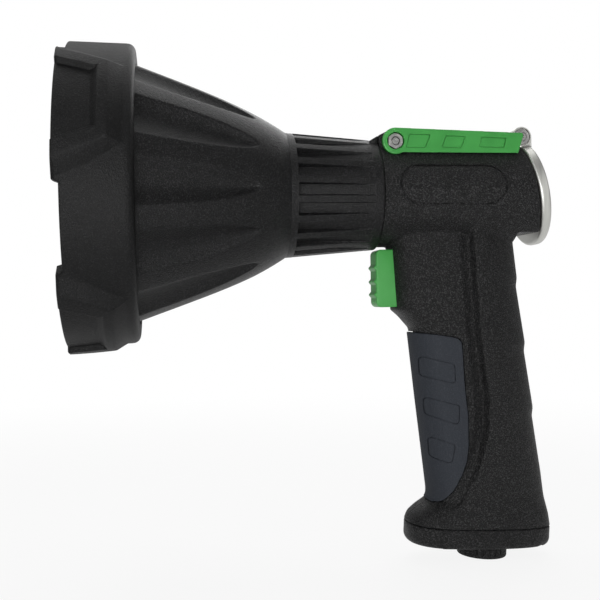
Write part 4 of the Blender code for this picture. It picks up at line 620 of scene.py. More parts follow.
# Drop, front, crease, front half width, rear half width, nose length and rear fullness, as shares.
grip_rows = np.array([
    (0.065, -0.050, 0.550, 0.855, 0.990, 0.22, 0.30),
    (0.165, -0.028, 0.560, 0.855, 0.985, 0.22, 0.31),
    (0.346, 0.000, 0.588, 0.850, 0.975, 0.22, 0.36),
    (0.365, 0.058, 0.590, 0.850, 0.975, 0.22, 0.37),
    (0.384, 0.100, 0.592, 0.850, 0.975, 0.22, 0.38),
    (0.402, 0.142, 0.594, 0.850, 0.975, 0.22, 0.39),
    (0.617, 0.200, 0.661, 0.850, 0.975, 0.22, 0.45),
    (0.706, 0.226, 0.656, 0.850, 0.975, 0.22, 0.48),
    (0.814, 0.257, 0.580, 0.855, 0.975, 0.22, 0.52),
    (0.890, 0.279, 0.481, 0.870, 0.975, 0.22, 0.58),
    (0.899, 0.281, 0.465, 0.880, 0.976, 0.22, 0.59),
    (0.918, 0.278, 0.440, 0.885, 0.978, 0.22, 0.62),
    (0.930, 0.245, 0.415, 0.900, 0.980, 0.23, 0.65),
    (0.949, 0.165, 0.375, 0.935, 0.985, 0.26, 0.68),
    (0.967, 0.107, 0.335, 0.965, 0.990, 0.29, 0.72),
    (0.989, 0.084, 0.310, 0.985, 0.998, 0.31, 0.76),
    (1.060, 0.084, 0.300, 1.000, 1.000, 0.31, 0.78),
])
grip_rear_places = (0.065, 0.927, 0.977, 1.060)
grip_rear_shares = (0.982, 1.222, 1.253, 1.281)


def grip_rear(drop):
    """The palm's line down the back, which steps in under each ridge and runs out again to the next."""
    ripple = 0.0
    below = drop - palm_top
    if 0 < below < palm_pitch * palm_count:
        run = below % palm_pitch
        back = (run - palm_run) / (palm_pitch - palm_run)
        ripple = -palm_step * (run / palm_run if run < palm_run else 1 - back)
    return grip_front + grip_depth * np.interp(drop / grip_drop, grip_rear_places, grip_rear_shares) + ripple


def grip_section(drop, front_inset=0.0, rear_inset=0.0):
    """One level section of the handle, set in by so much in front and behind."""
    front, crease, front_width, rear_width, nose, fullness = [
        np.interp(drop / grip_drop, grip_rows[:, 0], column) for column in grip_rows[:, 1:].T
    ]
    nose_x = grip_front + grip_depth * front + front_inset
    crease_x = grip_front + grip_depth * crease
    front_half = grip_half_width * front_width - front_inset
    rear_half = grip_half_width * rear_width - rear_inset
    length = grip_depth * nose - front_inset / 2
    tail_x = crease_x + crease_run
    tail = grip_rear(drop) - rear_inset - tail_x
    power = 1 / (0.45 + fullness)
    half = [
        (nose_x + length * (1 - math.cos(t) ** 0.9), front_half * math.sin(t) ** 0.9)
        for t in np.linspace(0, math.pi / 2, 15)
    ]
    half[-1] = (nose_x + length, front_half)
    run = max(crease_x - half[-1][0], 0.0)
    near = min(crease_run * 2.2 / max(run, crease_run), 0.6)
    dip = crease_dip * min(run / crease_run / 4, 1.0) ** 2
    sinks = ((1 - near, 0), (1 - near * 0.45, 0.7), (1, 1))
    half += [(half[-1][0] + run * t, front_half - dip * sunk) for t, sunk in sinks]
    rise = rear_half - front_half + dip
    half += [(crease_x + crease_run * t, front_half - dip + rise * t**0.95) for t in (0.3, 0.6, 0.85)]
    half += [
        (tail_x + tail * math.sin(t) ** power, rear_half * abs(math.cos(t)) ** power)
        for t in np.linspace(0, math.pi / 2, 20)
    ]
    half[-1] = (half[-1][0], 0.0)
    return half + [(x, -y) for x, y in half[-2:0:-1]]


def grip_solid(name, front_inset=0.0, rear_inset=0.0, first=0.065, last=1.06, spacing=0.0012):
    drops = np.arange(grip_drop * first, grip_drop * last, spacing)
    rings = [[(x, y, -drop) for x, y in grip_section(drop, front_inset, rear_inset)] for drop in drops]
    return lofted(name, rings)


shell = rod("shell", tube_radius, tube_front, tube_rear + tube_radius / 2, steps=160)
under_flat = block(
    "under_flat", (grip_rear(tube_flat) - grip_wall, -tube_radius, -tube_radius - overrun),
    (tube_rear + tube_radius, tube_radius, -tube_flat),
)
wide = tube_radius * 2
behind = block("behind", (0, -wide, -wide), (wide, wide, wide), -tube_slant, (tube_rear, 0, 0))
worked(shell, "DIFFERENCE", under_flat)
pivot_x, pivot_z = tube_front + 0.0074, tube_radius - 0.0011
pivot = (pivot_x, 0, pivot_z)
boss_radius, boss_half = 0.0065, 0.0130
ramp_toe, ramp_lead, ramp_angle = neck_rear_radius - 0.0016, 0.0041, math.radians(31)
boss_outline = arc(boss_radius, (pivot_x, pivot_z), 32, -math.pi / 4, math.pi / 2 + ramp_angle)
boss_outline += [
    (tube_front, ramp_toe + (ramp_lead + fit) * math.tan(ramp_angle)),
    (tube_front, tube_radius - tube_wall * 2),
]
worked(shell, "UNION", grip_solid("handle"), plate("boss", boss_outline, boss_half))
worked(shell, "DIFFERENCE", behind)
softened(shell, 0.0006, 4)

bore = rod("bore", tube_radius - tube_wall, tube_front - overrun, bore_end, steps=96)
cavity = grip_solid("cavity", grip_wall + pad_room, grip_wall, 0.075, 1.09, 0.004)
posts, post_radius, hole_radius, sink_radius = [], 0.0047, 0.0018, 0.0031
screw_shares = ((0.23, 0.093), (0.80, 0.093), (0.375, 0.381), (0.905, 0.381))
screw_places = [(grip_front + grip_depth * a, -grip_drop * d) for a, d in screw_shares]
for x, z in screw_places:
    reach = grip_section(max(-z, grip_drop * 0.075))[14][1] - tube_wall / 2
    post = rod("post", post_radius, -reach, reach, (x, 0, z), across)
    if -z > tube_radius:
        worked(post, "INTERSECT", grip_solid("post_trim", grip_wall / 2, grip_wall / 2, spacing=0.002))
    posts.append(post)
worked(shell, "DIFFERENCE", bore, cavity)
worked(shell, "UNION", *posts)

pad_shares = (
    (-0.10, 0.404), (0.300, 0.421), (0.486, 0.434), (0.505, 0.577), (0.527, 0.660), (0.528, 0.755),
    (0.511, 0.799), (0.477, 0.834), (0.407, 0.883), (0.326, 0.918), (0.250, 0.925), (-0.10, 0.930),
)
pad_outline = filleted([(grip_front + grip_depth * a, -grip_drop * d) for a, d in pad_shares], 0.0050, 7)
pad_reach, pad_gap = 0.023, 0.0004
pocket = plate("pocket", widened(pad_outline, pad_gap), pad_reach)
worked(pocket, "DIFFERENCE", grip_solid("pocket_floor", pad_room, pad_room))
seam_place = (grip_middle, 0, -grip_drop)
reach = 0.067
below_seam = block("below_seam", (-reach, -reach, -grip_depth), (reach, reach, 0), seam_tilt, seam_place)
trigger_half, trigger_top, trigger_length = 0.0070, 0.0275, 0.0288
trigger_foot = -trigger_top - trigger_length
trigger_front = grip_front - 0.0103
flange_front = trigger_front + 0.0210
flange_rear = flange_front + 0.0020
trigger_slot = block(
    "trigger_slot", (grip_front - 0.007, -trigger_half - fit, trigger_foot - fit),
    (flange_front - fit, trigger_half + fit, -trigger_top + fit),
)
cheek_half, cheek_inner = 0.0185, 0.0135
crown_radius, crown_inner, crown_run = 0.0065, 0.0043, 0.0025
bolt_room, pin_room = 0.0023, 0.0017


def crown(name, side, gap):
    """The round of one cheek about the pivot, coned on its inner side."""
    profile = (
        (cheek_inner - gap, crown_inner + gap), (cheek_inner + crown_run, crown_radius + gap),
        (cheek_half + gap, crown_radius + gap),
    )
    return turned(name, [(along * side, radius) for along, radius in profile], 64, pivot, across)


hinge_x, hinge_z = tube_rear - 0.0029, tube_radius + 0.0025
hinge = (hinge_x, 0, hinge_z)
ear_half, ear_radius, ear_gap = 0.0120, 0.0051, 0.0050
notch_gap = 0.0009
notch = block(
    "notch", (hinge_x - ear_radius - notch_gap, -ear_half - play, hinge_z - ear_radius - notch_gap),
    (tube_rear + tube_radius, ear_half + play, tube_radius + overrun),
)
worked(
    shell, "DIFFERENCE", pocket, below_seam, trigger_slot, crown("near_pocket", -1, play),
    crown("far_pocket", 1, play), notch, rod("bolt_bore", bolt_room, -cheek_half, cheek_half, pivot, across),
)


def stadium(length, height, middle):
    """A long field with round ends, as an outline."""
    radius = height / 2
    reach = length / 2 - radius
    right = arc(radius, (middle[0] + reach, middle[1]), 24, -math.pi / 2, math.pi / 2)
    return right + arc(radius, (middle[0] - reach, middle[1]), 24, math.pi / 2, 3 * math.pi / 2)


# The outlined field on each side of the barrel is a shallow groove, and its middle is plain.
recess_length, recess_height, recess_groove, recess_depth = 0.0539, 0.0197, 0.0010, 0.0007
recess_reach, island_reach = 0.030, 0.032
recess_middle = (tube_front + 0.0073 + recess_length / 2, 0.0029)
recess = plate("recess", stadium(recess_length, recess_height, recess_middle), recess_reach)
field = stadium(recess_length - recess_groove * 2, recess_height - recess_groove * 2, recess_middle)
recess_floor = rod("recess_floor", tube_radius - recess_depth, tube_front - overrun, tube_rear, steps=160)
worked(recess, "DIFFERENCE", plate("island", field, island_reach), recess_floor)
screw_seat, sink_end, hole_length = 0.0095, 0.029, 0.0173
cuts = [rod("sink", sink_radius, screw_seat, sink_end, (x, 0, z), across) for x, z in screw_places]
for x, z in screw_places:
    cuts.append(rod("hole", hole_radius, screw_seat - hole_length, screw_seat + overrun, (x, 0, z), across))
worked(shell, "DIFFERENCE", recess, *cuts)
seam_half = 0.00015
half_front, half_rear, half_foot, half_top = -0.02, 0.16, -0.20, 0.06
for name, node, side in (("shell_left", "body_left", -1), ("shell_right", "body_right", 1)):
    low, high = sorted((side * seam_half, side * 0.040))
    blank = block(name, (half_front, low, half_foot), (half_rear, high, half_top))
    half = worked(blank, "INTERSECT", shell, keep=True)
    settle(placed(half, 34), "lamp", "black_textured_plastic", body_black, node)
bpy.data.objects.remove(shell)

# Ramp. The toe of the boss runs down onto the rear end of the neck, and is moulded with the head.
toe_start = tube_front - fit - ramp_lead
toe_top = ramp_toe + ramp_lead * math.tan(ramp_angle)
toe_outline = [(toe_start, ramp_toe), (neck_rear, toe_top), (neck_rear, neck_bore), (toe_start, neck_bore)]
toe = bevelled(plate("ramp_toe", toe_outline, boss_half), 0.0006, 3)
settle(placed(toe), "lamp", "black_smooth_plastic", head_black, "head_housing")

# Grip pad. A slate-grey soft moulding that wraps round the front of the handle in its own pocket, with
# three grooved outlines on each side.
slate_rubber = mould_black("slate_rubber", (0.030, 0.034, 0.042), 0.78, 1700, 0.00012, 0.10)
pad = plate("grip_sleeve", pad_outline, pad_reach)
pad_proud, pad_under = -0.0008, 0.0020
worked(pad, "INTERSECT", grip_solid("pad_face", pad_proud, pad_proud))
worked(pad, "DIFFERENCE", grip_solid("pad_back", pad_under, pad_under))
softened(pad, 0.00045, 4)
panel_places = (
    [(0.0569, -0.0804), (0.0733, -0.0848), (0.0737, -0.0947), (0.0577, -0.0908)],
    [(0.0589, -0.1006), (0.0756, -0.1052), (0.0749, -0.1151), (0.0599, -0.1100)],
    [(0.0611, -0.1204), (0.0732, -0.1244), (0.0712, -0.1342), (0.0621, -0.1313)],
)
groove_width, groove_inset = 0.00045, pad_proud + 0.0006
ring_reach, field_reach = 0.024, 0.025
for panel in panel_places:
    ring = plate("panel", filleted(panel, 0.0022, 7), ring_reach)
    inner = filleted(widened(panel, -groove_width), 0.0018, 7)
    groove_floor = grip_solid("groove_floor", groove_inset, groove_inset, 0.35, 0.92)
    worked(ring, "DIFFERENCE", plate("field", inner, field_reach), groove_floor)
    worked(pad, "DIFFERENCE", ring)
settle(placed(pad, 34), "lamp", "slate_soft_rubber", slate_rubber, "grip_pad")

# Trigger. A green moulded slider with three low ribs between finger hollows, which runs in a slot in the
# handle's front and is held by a flange behind the wall.
green = Finish("green_plastic", (0.050, 0.340, 0.062), 0.42, Specular_IOR_Level=0.36)
cloud = green.noise(45, 3.0, 0.55)
speck = green.noise(2600, 2.0, 0.6)
green_plastic = green.dress(
    cloud.between(0.3, 0.7) * 0.6 + speck * 0.4, (0.040, 0.290, 0.050), (0.066, 0.390, 0.076),
    0.36 + (cloud - 0.5) * 0.10 + (speck - 0.5) * 0.12, speck * 0.8 + cloud * 0.4, 0.00009,
)

rib_drops, rib_half, rib_height, trigger_round = (0.0365, 0.0435, 0.0500), 0.0018, 0.0011, 0.0026
face = []
for drop in np.linspace(trigger_top + trigger_round, -trigger_foot - trigger_round, 90):
    off_rib = min(abs(drop - place) for place in rib_drops) / rib_half
    face.append((trigger_front + rib_height * math.sin(math.pi / 2 * min(off_rib, 1.0)) ** 2, -drop))
corner_x = trigger_front + rib_height + trigger_round
high_corner = arc(trigger_round, (corner_x, -trigger_top - trigger_round), 9, math.pi / 2, math.pi)
low_corner = arc(trigger_round, (corner_x, trigger_foot + trigger_round), 9, math.pi, math.pi * 1.5)
trigger_outline = high_corner[:-1] + face + low_corner[1:]
trigger_outline += [(flange_rear, trigger_foot), (flange_rear, -trigger_top)]
trigger = bevelled(plate("trigger_slider", trigger_outline, trigger_half), 0.0009, 4, 50)
flange_half, flange_lap = 0.0092, 0.0015
flange_low = (flange_front, -flange_half, trigger_foot - flange_lap)
flange_high = (flange_rear, flange_half, -trigger_top + flange_lap)
worked(trigger, "UNION", block("flange", flange_low, flange_high))
settle(placed(trigger, 50), "trigger", "green_plastic", green_plastic, "trigger")

# Trigger spring. Hard zinc-plated wire wound between the trigger's flange and the switch, with its end
# turns closed. It shortens as the trigger goes in, but is drawn here at one length.
spring_low, spring_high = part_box("trigger_spring")
wire_radius, spring_turns, trigger_travel = 0.0004, 7, 0.005
spring_middle = (spring_low + spring_high) / 2
coil_radius = (spring_high.y - spring_low.y) / 2 - wire_radius
coil_length = spring_high.x - spring_low.x - wire_radius * 2
closed_turn = wire_radius * 2.2
coil, wire_angles = [], np.linspace(0, 2 * math.pi, 10, endpoint=False)
coil_turns = (0, 1, spring_turns - 1, spring_turns)
coil_places = (0, closed_turn, coil_length - closed_turn, coil_length)
for turn in np.linspace(0, spring_turns, spring_turns * 28 + 1):
    start = spring_low.x + wire_radius + np.interp(turn, coil_turns, coil_places)
    turn_y, turn_z = math.cos(turn * 2 * math.pi), math.sin(turn * 2 * math.pi)
    ring = []
    for t in wire_angles:
        reach = coil_radius + wire_radius * math.cos(t)
        bent_y, bent_z = spring_middle.y + reach * turn_y, spring_middle.z + reach * turn_z
        ring.append((start + wire_radius * math.sin(t), bent_y, bent_z))
    coil.append(ring)
spring = lofted("spring_coil", coil)
bare_zinc = Finish("zinc_steel", (0.42, 0.42, 0.40), 0.34, 1.0)
bloom = bare_zinc.noise(220, 3.0, 0.6)
grit = bare_zinc.noise(2600, 2.0, 0.5)
zinc = bare_zinc.dress(
    bloom.between(0.35, 0.7), (0.36, 0.36, 0.35), (0.48, 0.47, 0.45), 0.30 + bloom * 0.14 + grit * 0.06,
    grit + bloom * 0.5, 0.00003,
)
settle(spring, "lamp", "zinc_plated_steel", zinc, "trigger_spring")
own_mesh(spring)

# Base cap. The black foot of the handle, screwed up from below, with a rounded lower edge and a well for
# the charging socket.


def seam_ring(depth, inset):
    """The handle's outline where the seam cuts it, drawn in by an inset and moved down square to the seam."""
    down = Vector((math.sin(seam_tilt), 0, math.cos(seam_tilt))) * depth
    ring = []
    for k in range(len(grip_section(grip_drop))):
        drop = grip_drop
        for _ in range(4):
            x, y = grip_section(drop, inset, inset)[k]
            drop = grip_drop + (x - grip_middle) * math.tan(seam_tilt)
        ring.append(Vector((x, y, -drop)) - down)
    return ring


cap_height, cap_round = 0.0104, 0.0057
cap_levels = [(0.0003, 0.0008), (0.0006, 0.0003), (0.0011, 0.0)]
cap_levels += [(cap_height * share, 0.0) for share in (0.3, 0.62)]
cap_levels += [
    (cap_height * (0.62 + 0.38 * math.sin(t)), cap_round * 0.55 * (1 - math.cos(t)))
    for t in np.linspace(0.15, math.pi / 2, 9)
]
cap = lofted("cap", [seam_ring(depth, inset) for depth, inset in cap_levels])
plug_x = grip_front + grip_depth * 0.722
plug_seam = -grip_drop - (plug_x - grip_middle) * math.tan(seam_tilt)
socket_place = (plug_x, 0, plug_seam)
tilted = Matrix.Rotation(seam_tilt, 3, "Y")
well_radius, screw_aside = 0.0049, 0.0075
cap_screws = []
for share in (0.250, 1.138):
    x = grip_front + grip_depth * share
    z = -grip_drop - (x - grip_middle) * math.tan(seam_tilt)
    cap_screws += [(x, -screw_aside, z), (x, screw_aside, z)]
cap_cuts = [rod("socket_well", well_radius, -cap_height - overrun, overrun, socket_place, tilted)]
for place in cap_screws:
    cap_cuts.append(rod("cap_sink", sink_radius, -cap_height - overrun, -cap_height / 2, place, tilted))
    cap_cuts.append(rod("cap_hole", hole_radius, -cap_height, overrun, place, tilted))
worked(cap, "DIFFERENCE", *cap_cuts)
settle(placed(cap, 40), "lamp", "black_textured_plastic", body_black, "base_cap")

# Base plug. A round black stopper under the cap, with a fluted rim, whose stem closes the socket.
plug_radius, plug_height, plug_edge = 0.0125, 0.0062, 0.0010
plug_foot = -cap_height - plug_height
plug_profile = [(plug_foot, plug_radius - plug_edge)]
plug_profile += [
    (plug_foot + plug_edge * (1 - math.cos(t)), plug_radius - plug_edge * (1 - math.sin(t)))
    for t in np.linspace(0.3, math.pi / 2, 4)
]
stem_radius, stem_edge, stem_top = 0.0037, 0.0033, -cap_height + 0.0031
plug_profile += [
    (-cap_height - 0.0008, plug_radius), (-cap_height - fit, plug_radius - 0.0005),
    (-cap_height - fit, stem_radius), (-cap_height + 0.0027, stem_radius), (stem_top, stem_edge),
]
plug = turned("plug_body", plug_profile, 96, socket_place, tilted)
grip_marks, mark_count = [], 24
mark_low, mark_high = plug_foot + 0.0014, -cap_height - 0.0012
for k in range(mark_count):
    turn = 2 * math.pi * k / mark_count
    offset = tilted @ Vector((plug_radius * math.cos(turn), plug_radius * math.sin(turn), 0))
    grip_marks.append(rod("mark", 0.00045, mark_low, mark_high, Vector(socket_place) + offset, tilted, 10))
worked(plug, "DIFFERENCE", *grip_marks)
settle(placed(plug, 40), "plug", "black_textured_plastic", body_black, "base_plug")

# Hinge arm. A green moulded saddle that lies along the top of the barrel and turns up about a bolt at its
# front. Each cheek carries three shallow sunk panels, with a deeper groove round their edges.
arm_reach = hinge_x - pivot_x
saddle_radius = tube_radius + play
arm_shares = ((0.970, 0.692), (0.977, 0.52), (0.933, -0.92), (0.04, -0.94))
arm_corners = [(pivot_x + arm_reach * a, pivot_z + crown_radius * h) for a, h in arm_shares]
arm_outline = arm_corners + arc(crown_radius, (pivot_x, pivot_z), 40, math.pi * 0.5, math.pi * 1.45)[::-1]
arm = plate("arm_saddle", arm_outline, cheek_half)
low_z, high_z = pivot_z - crown_radius * 2, pivot_z + crown_radius * 2
web_start, web_end = pivot_x + arm_reach * 0.115, pivot_x + arm_reach * 0.905
tongue_half, crown_room = 0.0050, 0.013
worked(
    arm, "DIFFERENCE",
    rod("saddle", saddle_radius, 0, tube_rear + tube_radius, steps=160),
    block("pivot_gap", (pivot_x - crown_room, -cheek_inner, low_z), (web_start, cheek_inner, high_z)),
    block("hinge_gap", (web_end, -cheek_inner, low_z), (hinge_x + crown_radius, cheek_inner, high_z)),
)
for side in (-1, 1):
    low, high = sorted((side * (cheek_inner - play), side * (cheek_inner + crown_run)))
    room_corners = (pivot_x - crown_room, low, low_z), (pivot_x + crown_radius / 4, high, high_z)
    worked(arm, "DIFFERENCE", block("crown_room", *room_corners))
    worked(arm, "UNION", crown("crown", side, 0))
tongue_low = (hinge_x - 0.0203, -tongue_half, low_z)
tongue_high = (hinge_x + crown_radius, tongue_half, hinge_z + 0.0022)
worked(arm, "DIFFERENCE", block("tongue_slot", tongue_low, tongue_high))
softened(arm, 0.00038, 3)
panel_shares = (
    ((0.100, 0.52), (0.264, 0.49), (0.222, -0.54), (0.074, -0.54)),
    ((0.378, 0.43), (0.531, 0.37), (0.493, -0.55), (0.342, -0.49)),
    ((0.652, 0.34), (0.844, 0.28), (0.822, -0.49), (0.630, -0.46)),
)
nut_flats, nut_height = 0.0070, 0.0032
sixth = math.cos(math.pi / 6)
hexed = across @ Matrix.Rotation(math.pi / 6, 3, "Z")
panel_depth, edge_depth, edge_width, core_reach = 0.0006, 0.0011, 0.0004, 0.030
cheek_over = cheek_half + overrun
panels = []
for shares in panel_shares:
    corners = [(pivot_x + arm_reach * a, pivot_z + crown_radius * h) for a, h in shares]
    outline = filleted(corners, 0.0007, 4)
    middle = filleted(widened(corners, -edge_width), 0.0005, 4)
    for side in (-1, 1):
        for depth, core in ((panel_depth, None), (edge_depth, middle)):
            low, high = sorted((side * cheek_over, side * (cheek_half - depth)))
            cutter = plate("panel_cut", outline, high, low)
            if core:
                worked(cutter, "DIFFERENCE", plate("panel_core", core, core_reach))
            panels.append(cutter)
worked(
    arm, "DIFFERENCE", *panels, rod("arm_bore", bolt_room, -cheek_over, cheek_over, pivot, across),
    rod("nut_seat", nut_flats / 2 + 0.0008, -cheek_over, -cheek_half + nut_height + fit, pivot, across, 48),
    rod("head_seat", 0.0038, cheek_half - 0.0029, cheek_over, pivot, across, 48),
)
settle(placed(arm, 34), "arm", "green_plastic", green_plastic, "hinge_arm")

# Arm bolt and nut. A zinc-plated cap screw with a hexagon socket, and a chamfered hexagon nut let into the
# near cheek.
bolt_shank, bolt_head, bolt_seat = 0.0020, 0.0035, cheek_half - 0.0026
bolt_profile = [
    (-cheek_half + fit, 0.0016), (-cheek_half + 0.0007, bolt_shank), (bolt_seat, bolt_shank),
    (bolt_seat, bolt_head), (cheek_half - 0.0007, bolt_head), (cheek_half - fit, 0.0031),
]
bolt = turned("bolt_body", bolt_profile, 48, pivot, across)
worked(
    bolt, "DIFFERENCE",
    rod("near_drive", 0.0011, -cheek_over, -cheek_half + 0.0015, pivot, hexed, 6),
    rod("far_drive", 0.0013, cheek_half - 0.0016, cheek_over, pivot, hexed, 6),
)
settle(placed(bolt), "arm", "zinc_plated_steel", zinc, "arm_bolt")


def hex_nut(name, flats, low, high, bore, place, outer):
    """A hexagon nut whose corners are turned off on its outer side, with a bored hole."""
    reach = flats / 2
    corner = reach / sixth + 0.0001
    chamfer = (reach / sixth - reach) * 0.7
    profile = [(low - 0.001, corner), (high - chamfer, corner), (high, reach)]
    if outer < 0:
        profile = [(low, reach), (low + chamfer, corner), (high + 0.001, corner)]
    nut = rod(name, reach / sixth, low, high, place, hexed, 6)
    worked(nut, "INTERSECT", turned("turning", profile, 64, place, across))
    return worked(nut, "DIFFERENCE", rod("bore", bore, low - 0.002, high + 0.002, place, across))


nut = hex_nut("nut_body", nut_flats, -cheek_half + fit, -cheek_half + nut_height, 0.00215, pivot, -1)
settle(placed(nut, 25), "arm", "zinc_plated_steel", zinc, "arm_nut")

# Arm link. A black tongue between the foot's ears, let into the arm's web from below.
link_half, bar_half = 0.0047, 0.0019
link = rod("link_tongue", 0.0046, -link_half, link_half, hinge, across, 48)
bar_corners = (hinge_x - 0.0200, -link_half, hinge_z - bar_half), (hinge_x, link_half, hinge_z + bar_half)
worked(link, "UNION", block("bar", *bar_corners))
worked(
    link, "DIFFERENCE", rod("link_bore", pin_room, -ear_half, ear_half, hinge, across),
    rod("link_saddle", saddle_radius, tube_front, tube_rear - 0.0065, steps=160),
)
settle(placed(link), "arm", "black_smooth_plastic", head_black, "arm_link")

# Foot. A cast and turned aluminium disc that hangs behind the barrel on two ears, with a magnet let into
# its rear face.
brushed = Finish("brushed_aluminium", (0.66, 0.66, 0.63), 0.42, 1.0)
streak = brushed.noise(1.0, 3.0, 0.6, brushed.stretched((900, 60, 60)))
patch = brushed.noise(70, 3.0, 0.5)
aluminium = brushed.dress(
    streak.between(0.3, 0.7) * 0.6 + patch * 0.4, (0.60, 0.60, 0.57), (0.74, 0.74, 0.70),
    0.42 + (streak - 0.5) * 0.16 + (patch - 0.5) * 0.10, streak, 0.00003,
)

disc_radius, disc_thickness, disc_edge = 0.0264, 0.0052, 0.0012
slant_normal = Vector((math.cos(tube_slant), 0, math.sin(tube_slant)))
slant_down = Vector((math.sin(tube_slant), 0, -math.cos(tube_slant)))
disc_z = hinge_z - 0.0284
disc_middle = Vector((tube_rear - disc_z * math.tan(tube_slant), 0, disc_z)) + slant_normal * play
disc_turn = Matrix.Rotation(math.pi / 2 - tube_slant, 3, "Y")
magnet_radius, magnet_depth = 0.0190, 0.0022
magnet_floor = disc_thickness - magnet_depth
rim = [
    (disc_edge * (1 - math.cos(t)), disc_radius - disc_edge * (1 - math.sin(t)))
    for t in np.linspace(0, math.pi / 2, 5)
]
rim += [(disc_thickness - along, radius) for along, radius in rim[::-1]]
foot = turned("foot_plate", rim, 128, disc_middle, disc_turn)
neck_low = disc_middle - slant_down * (disc_radius * 0.70)
neck_rim = neck_low + slant_normal * disc_thickness
ear_outline = [
    (neck_low.x, neck_low.z), (neck_rim.x, neck_rim.z),
    *arc(ear_radius, (hinge_x, hinge_z), 24, -math.pi * 0.02, math.pi * 1.02),
    *arc(ear_radius, (hinge_x, hinge_z), 10, math.pi * 1.12, math.pi * 1.45),
]
worked(foot, "UNION", plate("ears", ear_outline, ear_half))
worked(
    foot, "DIFFERENCE",
    block(
        "behind_body", (-ear_radius * 3, -disc_radius, -disc_radius * 2),
        (0, disc_radius, hinge_z - ear_radius - disc_z), -tube_slant, disc_middle,
    ),
    rod("tongue_room", ear_radius, -ear_gap, ear_gap, hinge, across, 48),
    block(
        "ear_gap", (hinge_x - ear_radius * 2, -ear_gap, hinge_z - ear_radius),
        (hinge_x + ear_radius * 2, ear_gap, hinge_z + ear_radius * 2),
    ),
)
softened(foot, 0.00036, 3)
ear_over = ear_half + overrun
worked(
    foot, "DIFFERENCE",
    rod("foot_bore", pin_room, -ear_over, ear_over, hinge, across),
    rod("washer_seat", 0.0044, -ear_over, -ear_half + 0.0015, hinge, across, 64),
    rod("foot_nut_seat", 0.0028 / sixth, ear_half - 0.0019, ear_over, hinge, across, 6),
    rod("magnet_seat", magnet_radius, magnet_floor, disc_thickness + overrun, disc_middle, disc_turn, 128),
)
settle(placed(foot, 34), "foot", "brushed_aluminium", aluminium, "foot_disc")

magnet_profile = [
    (magnet_floor + fit, magnet_radius - fit), (disc_thickness - fit * 2, magnet_radius - fit),
    (disc_thickness - fit, magnet_radius - fit * 2),
]
magnet = turned("magnet_disc", magnet_profile, 128, disc_middle, disc_turn)
nickel = Finish("nickel_plate", (0.40, 0.40, 0.38), 0.24, 1.0)
haze = nickel.noise(140, 4.0, 0.6)
scuff = nickel.noise(900, 2.0, 0.6, nickel.stretched((1, 9, 1)))
plated = nickel.dress(
    haze, (0.34, 0.34, 0.33), (0.46, 0.46, 0.44), 0.20 + haze * 0.12 + scuff.between(0.55, 0.75) * 0.14,
    haze + scuff * 0.4, 0.00002,
)
settle(placed(magnet), "foot", "magnet_nickel", plated, "foot_magnet")

# Foot fastening. A serrated washer let into the near ear, the hinge screw through both ears, and its nut
# in the far ear.
washer_radius, tooth_depth, tooth_steps = 0.0041, 0.00025, 36
washer_outline = []
for k in range(tooth_steps):
    turn = 2 * math.pi * k / tooth_steps
    radius = washer_radius - (tooth_depth if k % 2 else 0)
    washer_outline.append((hinge_x + radius * math.cos(turn), hinge_z + radius * math.sin(turn)))
washer = bevelled(plate("washer_ring", washer_outline, -ear_half + 0.0012, -ear_half), 0.0001, 2)
worked(washer, "DIFFERENCE", rod("washer_bore", pin_room, -ear_over, -0.008, hinge, across))
settle(placed(washer, 25), "foot", "brushed_aluminium", zinc, "foot_washer")
head_low, pin_radius = -ear_half - fit, 0.0014
pin_profile = [
    (head_low - 0.0011, pin_radius), (head_low - 0.0009, 0.0019), (head_low - 0.0004, 0.0023),
    (head_low, 0.0024), (head_low, pin_radius), (ear_half - fit * 2, pin_radius), (ear_half - fit, 0.0011),
]
foot_screw = turned("foot_pin", pin_profile, 48, hinge, across)
pin_drive = rod("pin_drive", 0.0009, head_low - overrun, head_low - 0.0002, hinge, hexed, 6)
worked(foot_screw, "DIFFERENCE", pin_drive)
settle(placed(foot_screw), "foot", "zinc_plated_steel", zinc, "foot_screw")
foot_nut = hex_nut("foot_nut_body", 0.0050, ear_half - 0.0016, ear_half - fit, 0.00155, hinge, 1)
settle(placed(foot_nut, 25), "foot", "zinc_plated_steel", zinc, "foot_nut")

# Screws. Pan-head screws with hexagon sockets: four sunk in the far shell, and four under the base cap.


def pan_screw(name, seat, length, place, turn, node):
    """A screw whose head's underside lies on its seat and whose shank runs down its own axis."""
    shank, head, side, top = 0.0015, 0.0028, seat + 0.0012, seat + 0.0022
    profile = [
        (seat - length, 0.0009), (seat - length + 0.0010, shank), (seat, shank), (seat, head), (side, head),
    ]
    for t in np.linspace(0.3, math.pi / 2, 5):
        profile.append((side + 0.0010 * math.sin(t), head - 0.0009 * (1 - math.cos(t))))
    screw = turned(name, profile, 40, place, turn)
    worked(screw, "DIFFERENCE", rod("drive", 0.0013, top - 0.0013, top + overrun, place, turn, 6))
    settle(placed(screw), "lamp", "zinc_plated_steel", zinc, node)


for k, (x, z) in enumerate(screw_places):
    pan_screw(f"case_fixing_{k + 1}", screw_seat + fit, 0.0170, (x, 0, z), across, f"case_screw_{k + 1}")
upward = tilted @ Matrix.Rotation(math.pi, 3, "X")
for k, place in enumerate(cap_screws):
    pan_screw(f"cap_fixing_{k + 1}", cap_height / 2 + fit, 0.0110, place, upward, f"cap_screw_{k + 1}")

